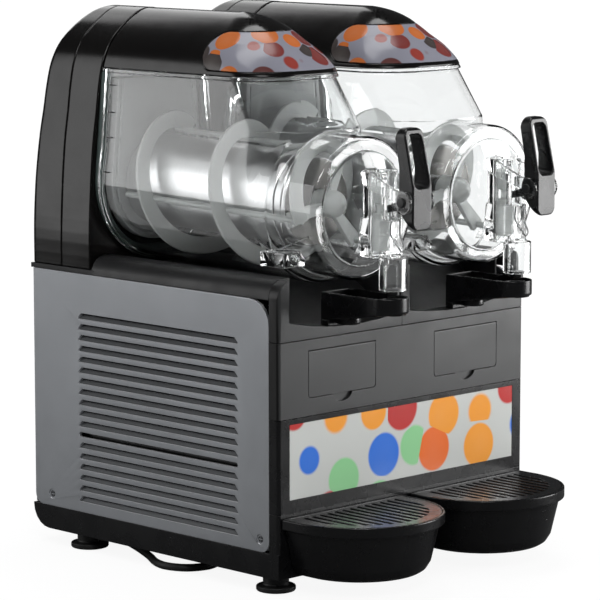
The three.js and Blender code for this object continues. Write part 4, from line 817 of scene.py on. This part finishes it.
def arch_table():
    """The arch as radii by angle about a point on its middle line, and the slope of its skin."""
    share = np.sin(np.arange(13) * math.pi / 24)
    reach = ARCH_HALF * np.interp(share, *zip(*ARCH))
    right = np.stack([reach, BASE + (TOP - BASE) * share], 1)
    low = [(ARCH_HALF, 240), (ARCH_HALF, 290)]
    line = through(np.concatenate([low, right, right[-2::-1] * (-1, 1)]), 10)
    line = line[line[:, 0] >= -20]
    angle = np.arctan2(line[:, 1] - ARCH_MID, line[:, 0])
    radius = np.hypot(line[:, 0], line[:, 1] - ARCH_MID)
    even = np.linspace(angle[0], angle[-1], 900)
    radius = np.interp(even, angle, radius)
    slope = np.gradient(radius, even) / radius
    return even, radius, 1 / np.sqrt(1 + slope * slope)


ARCH_ANGLE, ARCH_RADIUS, ARCH_TILT = arch_table()


def arch(x, z):
    """The distance to the towers' and hoods' outline, seen from the front."""
    wide = np.abs(x)
    angle = np.arctan2(z - ARCH_MID, wide)
    away = np.hypot(wide, z - ARCH_MID) - np.interp(angle, ARCH_ANGLE, ARCH_RADIUS)
    return away * np.interp(angle, ARCH_ANGLE, ARCH_TILT)


def shares(rows):
    """A table of shares as closely spaced values of a smooth curve."""
    line = through([(a * 100, b * 100) for a, b in rows], 12) / 100
    return line[:, 0], line[:, 1]


LEAN_LINE, VISOR_LINE, ARCH_LINE = shares(LEAN), shares(VISOR), shares(ARCH)


def arch_half(z):
    return ARCH_HALF * np.interp((z - BASE) / (TOP - BASE), *ARCH_LINE)


def rear_face(m, z):
    """The distance to the sloping rear of a cover."""
    return (m - CASE + 20 * np.interp((z - BASE) / (TOP - BASE), *LEAN_LINE)) * 0.9


def shaft_hole(x, z):
    return np.hypot(x, z - AXIS_Z - SLOPE * 310) - 8.7


def column_shell(x, m, z):
    """The front half of a tower, hollow and open to the rear."""
    skin = arch(x, z)
    body = smooth_max(smooth_max(skin, slab(m, 310, 358.85), 1.6), BASE - z, 0.8)
    room = np.maximum(skin + 4, 314 - m)
    return smooth_max(smooth_max(body, -room, 0.4), -shaft_hole(x, z), 0.4)


def cover_shell(x, m, z):
    """The rear half of a tower, hollow and open to the front."""
    skin, rear = arch(x, z), rear_face(m, z)
    body = smooth_max(smooth_max(smooth_max(skin, rear, 7.0), 359.15 - m, 1.6), BASE - z, 0.8)
    room = smooth_max(skin + 4, rear + 4, 5.0)
    return smooth_max(body, -room, 0.4)


def lid_solid(x, m, z):
    """The hood's outer form: an arch cut by the visor, with round front corners in plan."""
    front = 51 + 96 * np.interp((z - RIM) / (TOP - RIM), *VISOR_LINE)
    reach = arch_half(z) + 0.3
    corner = np.minimum(56, reach * 0.95)
    plan = rounded(np.abs(x) - reach + corner, front + corner - m, corner)
    return smooth_max(arch(x, z), plan * 0.75, 4.0)


def pill(m, z, low, high, end):
    """The distance to a band with a round front end, seen from the side."""
    radius, middle = (high - low) / 2, (high + low) / 2
    return np.where(m < end - radius, np.abs(z - middle), np.hypot(m - end + radius, z - middle)) - radius


def lid_shell(x, m, z):
    """The hood, hollow, with a pocket for its window."""
    skin = lid_solid(x, m, z)
    body = smooth_max(smooth_max(skin, 561.3 - z, 1.4), m - 308, 1.4)
    room = smooth_max(skin + 4, m - 304, 2.0)
    body = smooth_max(body, -room, 0.4)
    pocket = np.maximum(pill(m, z, 566.7, 608.3, 151.3), -(skin + 1.9))
    return smooth_max(body, -pocket, 0.4)


def lens_shell(x, m, z):
    skin = lid_solid(x, m, z)
    body = smooth_max(skin, pill(m, z, 567, 608, 151), 0.6)
    return np.maximum(body, -(skin + 1.7))


def make_towers():
    across = steps(-99, (99, 2.4))
    up = steps(327, (336, 1.5), (560, 3.0), (632, 2.0))
    column = net_mesh("column", column_shell, across, steps(307, (318, 1.4), (355, 3.5), (362, 1.2)), up)
    cover = net_mesh("rear_cover", cover_shell, across, steps(356, (364, 1.2), (414, 2.4)), up)
    lid = net_mesh("hood", lid_shell, across, steps(48, (160, 2.0), (300, 3.0), (311, 1.4)),
                   steps(558, (566, 1.2), (610, 1.6), (632, 1.6)))
    lens = net_mesh("lens", lens_shell, steps(-98, (98, 0.8)), steps(48, (153, 0.8)), steps(565, (610, 0.8)))
    lens.materials.append(MATERIALS["lens_art"].material)
    pair("tower", column, "machine", "gloss_black", "column")
    pair("tower_back", cover, "machine", "gloss_black", "rear_cover")
    pair("hood", lid, "lid", "gloss_black", "lid")
    pair("hood_lens", lens, "lid", "panel_white", "lens")


def seal_ring(x, m, z):
    """The ribbed rubber seal behind the bowl."""
    h = -SIN * m + COS * (z - AXIS_Z)
    ring = smooth_max(hopper_section(x, h, 0.2), -hopper_section(x, h, 9), 1.0)
    ribs = 0.5 * np.cos((m - 305) * 2 * math.pi / 3.1)
    return smooth_max(smooth_max(ring + np.maximum(ribs, 0), slab(m, 300.3, 309.7), 0.8), z - 557, 0.8)


def back_disc(x, m, z):
    """The plate that closes the bowl, with a groove and the hole of the shaft."""
    h = -SIN * m + COS * (z - AXIS_Z)
    body = smooth_max(smooth_max(hopper_section(x, h, 17), slab(m, 297, 309.7), 1.2), z - 549, 1.5)
    groove = np.abs(hopper_section(x, h, 24)) - 1.2
    body = smooth_max(body, -np.maximum(groove, m - 298.2), 0.6)
    return smooth_max(body, -shaft_hole(x, z), 0.4)


def make_seals():
    across, up = steps(-90, (90, 2.2)), steps(330, (560, 2.2))
    ring = net_mesh("seal_ring", seal_ring, across, steps(298.5, (311.5, 1.0)), up)
    disc = net_mesh("back_disc", back_disc, across, steps(295, (300, 0.8), (312, 2.4)), up)
    pair("seal", ring, "machine", "seal_rubber", "gasket")
    pair("back_disc", disc, "machine", "grey_plastic", "back_plate")


# Augers, drums and shafts
def make_augers():
    """A spiral on three bars with its hub and arms, the cooling drum and the drive shaft."""
    rings = []
    count = 240
    for i in range(count + 1):
        y = 287 - 285 * i / count
        angle = (245 - y) / PITCH * 2 * math.pi
        share = min(max((y - 24) / 36, 0), 1)
        outer = 72 + 8 * share * share * (3 - 2 * share)
        inner = outer - 20
        cross = [(inner, -1.2), (inner + 1.2, -2.25), (outer - 1.6, -2.25), (outer - 0.5, -1.7), (outer, -0.6),
                 (outer, 0.6), (outer - 0.5, 1.7), (outer - 1.6, 2.25), (inner + 1.2, 2.25), (inner, 1.2)]
        rings.append([(-r * math.cos(angle), y + d, -r * math.sin(angle)) for r, d in cross])
    hub = lathe([(0.5, -1.5), (6, 0.2), (10.5, 4), (13.6, 8), (15, 12), (15, 34), (14, 35), (9, 35.2)], 48)
    lead = 243 / PITCH * 2 * math.pi
    parts = [sweep(rings), hub]
    for k in range(3):
        angle = lead + 2 * math.pi * k / 3
        c, s = -math.cos(angle), -math.sin(angle)
        parts.append(moved(lathe([(2.4, 2), (3.5, 3.2), (3.5, 285.8), (2.4, 287)], 20), (59 * c, 0, 59 * s)))
        arm = []
        for r, wide in ((8, 4.5), (30, 6.5), (61, 8.5)):
            edge = [(18, 1 - wide), (19, -wide), (24, -wide), (25, 1 - wide)]
            edge += [(y, -w) for y, w in edge[::-1]]
            arm.append([(r * c - s * w, y, r * s + c * w) for y, w in edge])
        parts.append(sweep(arm))
    auger = to_mesh("auger", *leaned(joined(*parts)))
    drum = to_mesh("drum", *leaned(lathe(
        [(9.5, 39.4), (9.5, 39), (46, 39), (48.6, 39.8), (50, 41.6), (50, 56.4), (51.6, 56.8), (52.5, 57.8),
         (52.5, 294.4), (51.6, 295.1), (9.5, 295.1)], 128)))
    shaft = to_mesh("shaft", *leaned(lathe([(6.6, 12), (7.5, 13), (7.5, 321.8), (6.9, 322)], 40)))
    pair("spiral", auger, "auger", "white_plastic", "auger", (0.4, 1, 50))
    pair("drum", drum, "machine", "steel", "evaporator", (0.3, 2, 20))
    pair("drive_shaft", shaft, "auger", "steel", "shaft", (0.2, 1, 30))


# Taps: pistons, handles, pins and springs
GRIP = [(-119, 404), (-116.4, 404), (-98, 424), (-98, 472), (-92, 502), (-94.6, 514), (-103, 514), (-105.6, 511.4),
        (-119, 452)]
TONGUE = [(-106, 438.5), (-106, 428.5), (-70, 420), (-66.9, 421.6), (-66, 424), (-66.9, 426.4), (-70, 428)]


def handle_body(x, m, z):
    """The lever: a bent grip with a long slot, the hub and the tongue that lifts the piston."""
    body = smooth_max(polygon(m, z, GRIP), rounded_box(x, z, (-14.9, 404), (14.9, 514), 10), 1.6)
    slot = rounded_box(x, z, (-12.3, 449), (12.3, 508.8), 8) + 0.15 * np.maximum(m + 119, 0)
    body = smooth_max(body, -slot, 1.2)
    hub = smooth_max(np.maximum(np.hypot(m - PIN_M, z - PIN_Z) - 10, -119 - m), np.abs(x) - 14.9, 1.2)
    tongue = smooth_max(polygon(m, z, TONGUE), np.abs(x) - 4, 0.8)
    body = smooth_min(smooth_min(body, hub, 3.0), tongue, 2.0)
    return smooth_max(body, 3.3 - np.hypot(m - PIN_M, z - PIN_Z), 0.3)


def make_taps():
    grip = net_mesh("grip", handle_body, steps(-16.5, (16.5, 1.1)), steps(-121, (-90, 1.0), (-64, 1.4)),
                    steps(402, (516, 1.2)))
    rows = [(0.5, 377), (7.4, 377), (8.2, 377.8)]
    for low in (380, 394):
        rows += [(8.2, low), (8.5, low + 0.6), (8.5, low + 2.4), (8.2, low + 3)]
    rows += [(8.2, 417.6), (7.6, 418.4), (4, 419.2), (4, 428.8), (7.6, 429.6), (8.2, 430.4), (8.2, 449), (5.2, 452),
             (0.5, 452)]
    piston = to_mesh("piston", *moved(upright(lathe(rows, 48)), (0, VALVE_M, 0)))
    pin = to_mesh("pin", *moved(crosswise(lathe(
        [(1.5, -21.3), (4.8, -21.3), (5.5, -20.6), (5.5, -19.3), (3, -19.3), (3, 19.3), (5.5, 19.3), (5.5, 20.6),
         (4.8, 21.3), (1.5, 21.3)], 40)), (0, PIN_M, PIN_Z)))
    near = -79.9
    wire = through([(-7, near, 412), (-7, near, 396), (-3.8, near - 9, 382.8), (0, near - 9, 379),
                    (3.8, near - 9, 382.8), (7, near, 396), (7, near, 412)], 10)
    spring = to_mesh("wire_spring", *tube(wire, 1.0))
    pair("grip", grip, "handle", "black_plastic", "handle")
    pair("valve_piston", piston, "piston", "white_plastic", "piston", (0.2, 1))
    pair("hinge_pin", pin, "bowl", "black_plastic", "pin", (0.2, 1))
    pair("wire_spring", spring, "bowl", "steel", "spring")


# Trays
def tray_plan(x, m):
    """The distance from a drip tray's half-round outline of radius 95, open to the rear."""
    return np.where(m < -26, np.hypot(x, m + 26), np.abs(x)) - 95


def tray_body(x, m, z):
    """A drip tray with its rim, the seat for the grid and two tongues at the rear."""
    plan = tray_plan(x, m)
    inset = np.interp(z, [20, 24, 32, 80], [26, 20, 15, 4])
    outer = smooth_max(smooth_max((plan + inset) * 0.96, slab(z, 20, 78), 2.0), m + 1, 0.8)
    rim = smooth_max(smooth_max(plan, slab(z, 74, 86), 1.6), m + 1, 0.8)
    body = smooth_min(outer, rim, 2.0)
    room = np.maximum(np.maximum((plan + np.interp(z, [23, 27, 82.4], [29, 23, 11])) * 0.96, 23 - z), m + 4)
    seat = np.maximum(np.maximum(plan + 3, 82.4 - z), m + 4)
    body = smooth_max(body, -smooth_min(room, seat, 0.4), 0.5)
    tongue = smooth_max(np.maximum(np.abs(np.abs(x) - 55) - 14, slab(m, -1.3, 30)), slab(z, 50, 56), 0.8)
    return np.minimum(body, tongue)


def grid_body(x, m, z):
    plan = tray_plan(x, m)
    body = smooth_max(smooth_max(plan + 3.3, slab(z, 82.7, 85.7), 0.7), m + 4.3, 0.5)
    pitch = 155.4 / 13
    across = np.abs((x + 77.7) % pitch - pitch / 2) - pitch * 0.225
    slots = np.maximum(np.maximum(across, np.hypot(x, np.minimum(m + 26, 0)) - 77.7), m + 11.3)
    return smooth_max(body, -np.maximum(slots, np.abs(x) - 77.7), 0.6)


def catcher(side_sign):
    """A catch tray: a small open shell that slopes to the front, with a collar round the spout."""
    def body(x, m, z):
        def plan(inset):
            return np.where(m < -70, np.hypot(x, m + 70), np.abs(x)) - 22 + inset
        floor = 296 + (311 - 296) / 104 * (12 - np.clip(m, -92, 12))
        outer = smooth_max(smooth_max(smooth_max(plan(0), z - 328, 1.0), floor - z, 2.5), m - 12, 1.0)
        room = smooth_max(np.maximum(plan(2.4), m - 9.6), floor + 2.4 - z, 1.5)
        shell = smooth_max(outer, -room, 0.5)
        collar = smooth_max(np.hypot(x, m + 76.2) - 14.4, slab(z, 309, 325.6), 0.8)
        shell = np.minimum(shell, np.maximum(collar, plan(0)))
        knob = smooth_max(np.hypot(x, m + 10) - 13, slab(z, 292.2, 300.4), 2.5)
        shell = smooth_min(shell, knob, 1.5)
        scoop = np.hypot(x + side_sign * 19, z - 741.8) - 452.7
        heel = smooth_max(np.maximum(np.abs(x) - 22, slab(m, 0.3, 12)), np.maximum(scoop, z - 297.2), 0.6)
        return smooth_max(np.minimum(shell, heel), -(np.hypot(x, m + 76.2) - 12), 0.5)
    return body


def make_trays():
    tray = net_mesh("drip_tray", tray_body, steps(-97, (97, 2.0)), steps(-123, (-4, 2.0), (2, 1.0), (32, 3.0)),
                    steps(17, (34, 1.6), (72, 2.4), (88, 1.0)))
    grid = net_mesh("grille", grid_body, steps(-93, (93, 1.5)), steps(-119, (-2, 1.5)), steps(81, (88, 0.9)))
    pair("drip_pan", tray, "drip_tray", "black_plastic", "drip_tray")
    pair("grille", grid, "grid", "black_plastic", "grid")
    for side, x in SIDES.items():
        catch = net_mesh("catcher", catcher(-1 if side == "left" else 1), steps(-23.5, (23.5, 1.3)),
                         steps(-94, (14, 1.3)), steps(286, (330, 1.2)))
        add(f"catcher_{side}", catch, x, f"catch_tray_{side}", "black_plastic", f"catch_tray_{side}")


# Feet and the cord's gland
def make_feet():
    rows = [(2, 0), (19.4, 0), (21, 0.5), (22, 1.8), (22, 5.2), (21.2, 6.2), (18, 6.6), (15.2, 7.4), (14.5, 9),
            (14.5, 17), (13.8, 17.7), (5.2, 17.7), (5, 18), (5, 30), (1, 30)]
    foot = to_mesh("foot", *upright(lathe(rows, 72)))
    for name, x, m in (("front_left", -178, 26.5), ("front_right", 178, 26.5), ("rear_left", -178, 337),
                       ("rear_right", 178, 337)):
        pad = add(f"rubber_foot_{name}", foot, x / 1000, "machine", "rubber", f"foot_{name}", y=m / 1000)
        soften(pad, 0.3, 1, 20)


def make_gland():
    rows = [(4.8, 401.6), (9.5, 401.6), (9.5, 411.9), (13, 411.9), (13, 414.2), (12.4, 414.8), (9.4, 415)]
    for i in range(5):
        at, r = 417 + i * 3.2, 8.6 - i * 0.55
        rows += [(r, at - 1.2), (r, at + 0.6), (r - 1.1, at + 0.9), (r - 1.1, at + 1.7)]
    rows += [(6.2, 432.4), (5.8, 433.6), (4.8, 433.6)]
    gland = to_mesh("strain_relief", *lathe(rows, 56))
    soften(add("strain_relief", gland, -0.1, "machine", "rubber", "cord_gland", z=0.082), 0.2, 1, 25)


make_bowls()
make_marks()
make_screws()
make_shade_plates()
make_towers()
make_seals()
make_augers()
make_taps()
make_trays()
make_feet()
make_gland()


# The sheet-metal and moulded pieces that keep their solids get small rounds on their edges
def soften_nodes():
    done = {name for obj in bpy.data.objects for name in obj.get("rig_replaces", [])}
    fine = {"grey_steel": 1.0, "dark_panel": 0.9, "black_plastic": 0.9}
    for row in frame["record"]["subparts"]:
        if row["node"] not in done:
            soften(nodes[row["node"]], fine.get(row["material_slot"], 0.5), 2, 40)


soften_nodes()


# Studio
LAMPS = [  # name, place, aim, size in metres, watts
    ("key", (-2.2, -2.6, 2.8), (0, 0, 0.35), (1.4, 1.4), 52),
    ("side", (-2.5, 2.3, 1.0), (-0.1, 0, 0.35), (1.5, 2.0), 20),
    ("front", (1.78, -1.35, 0.42), (0.05, -0.1, 0.3), (1.1, 1.7), 50),
    ("top", (0.0, 0.3, 2.9), (0, 0, 0.4), (2.2, 0.9), 34),
    ("back", (1.2, 2.4, 2.0), (0, 0, 0.4), (1.7, 1.3), 13),
]


def make_light(name, spot, aim, size, power):
    data = bpy.data.lights.new(name, "AREA")
    data.shape = "RECTANGLE"
    data.size, data.size_y = size
    data.energy = power
    lamp = bpy.data.objects.new(name, data)
    bpy.context.scene.collection.objects.link(lamp)
    lamp.location = spot
    lamp.rotation_mode = "QUATERNION"
    lamp.rotation_quaternion = (Vector(aim) - Vector(spot)).to_track_quat("-Z", "Y")


def math_node(tree, operation, a, b=None):
    made = tree.nodes.new("ShaderNodeMath")
    made.operation = operation
    made.use_clamp = True
    for socket, value in ((made.inputs[0], a), (made.inputs[1], b)):
        if isinstance(value, (int, float)):
            socket.default_value = value
        elif value is not None:
            tree.links.new(value, socket)
    return made.outputs[0]


def shader_node(tree, kind, color, strength=None):
    made = tree.nodes.new(kind)
    made.inputs[0].default_value = (*color, 1)
    if strength is not None:
        made.inputs[1].default_value = strength
    return made.outputs[0]


def mixed(tree, share, a, b):
    made = tree.nodes.new("ShaderNodeMixShader")
    tree.links.new(share, made.inputs[0])
    tree.links.new(a, made.inputs[1])
    tree.links.new(b, made.inputs[2])
    return made.outputs[0]


def seen_rays(tree):
    """Light Path, and the share of rays that the camera sends, straight or through clear plastic."""
    path = tree.nodes.new("ShaderNodeLightPath")
    straight, through_clear = path.outputs["Is Camera Ray"], path.outputs["Is Transmission Ray"]
    return path, math_node(tree, "MAXIMUM", straight, through_clear)


def make_studio():
    """A soft room that mirrors see dimly, white where the camera looks past the object."""
    scene = bpy.context.scene
    scene.view_settings.view_transform = "Standard"
    world = bpy.data.worlds.new("studio")
    scene.world = world
    world.use_nodes = True
    tree = world.node_tree
    tree.nodes.clear()
    path, seen = seen_rays(tree)
    soft = shader_node(tree, "ShaderNodeBackground", (0.94, 0.97, 1), 0.26)
    dim = shader_node(tree, "ShaderNodeBackground", (0.94, 0.97, 1), 0.05)
    white = shader_node(tree, "ShaderNodeBackground", (1, 1, 1), 1)
    light = mixed(tree, path.outputs["Is Glossy Ray"], soft, dim)
    out = tree.nodes.new("ShaderNodeOutputWorld")
    tree.links.new(mixed(tree, seen, light, white), out.inputs[0])
    for lamp in LAMPS:
        make_light(*lamp)


def make_floor():
    """White paper that keeps the shadow near the object, and stays dark for mirrors."""
    reach = 14
    mesh = bpy.data.meshes.new("floor")
    corners = [(-reach, -reach, 0), (reach, -reach, 0), (reach, reach, 0), (-reach, reach, 0)]
    mesh.from_pydata(corners, [], [(0, 1, 2, 3)])
    floor = bpy.data.objects.new("floor", mesh)
    bpy.context.scene.collection.objects.link(floor)
    material = bpy.data.materials.new("floor")
    material.use_nodes = True
    tree = material.node_tree
    tree.nodes.clear()
    path, seen = seen_rays(tree)
    where = tree.nodes.new("ShaderNodeTexCoord").outputs["Object"]
    away = tree.nodes.new("ShaderNodeVectorMath")
    away.operation = "LENGTH"
    tree.links.new(where, away.inputs[0])
    grade = tree.nodes.new("ShaderNodeMapRange")
    for socket, value in zip(grade.inputs[1:5], (0.35, 0.9, 0.88, 1.0)):
        socket.default_value = value
    tree.links.new(away.outputs["Value"], grade.inputs[0])
    paper = shader_node(tree, "ShaderNodeBsdfDiffuse", (0.86, 0.86, 0.86))
    dark = shader_node(tree, "ShaderNodeBsdfDiffuse", (0.10, 0.10, 0.10))
    glow = shader_node(tree, "ShaderNodeEmission", (1, 1, 1), 1.04)
    lit = mixed(tree, math_node(tree, "MULTIPLY", seen, grade.outputs[0]), paper, glow)
    out = tree.nodes.new("ShaderNodeOutputMaterial")
    mirror = math_node(tree, "SUBTRACT", path.outputs["Is Glossy Ray"], path.outputs["Is Transmission Ray"])
    tree.links.new(mixed(tree, mirror, lit, dark), out.inputs[0])
    mesh.materials.append(material)


make_studio()
make_floor()
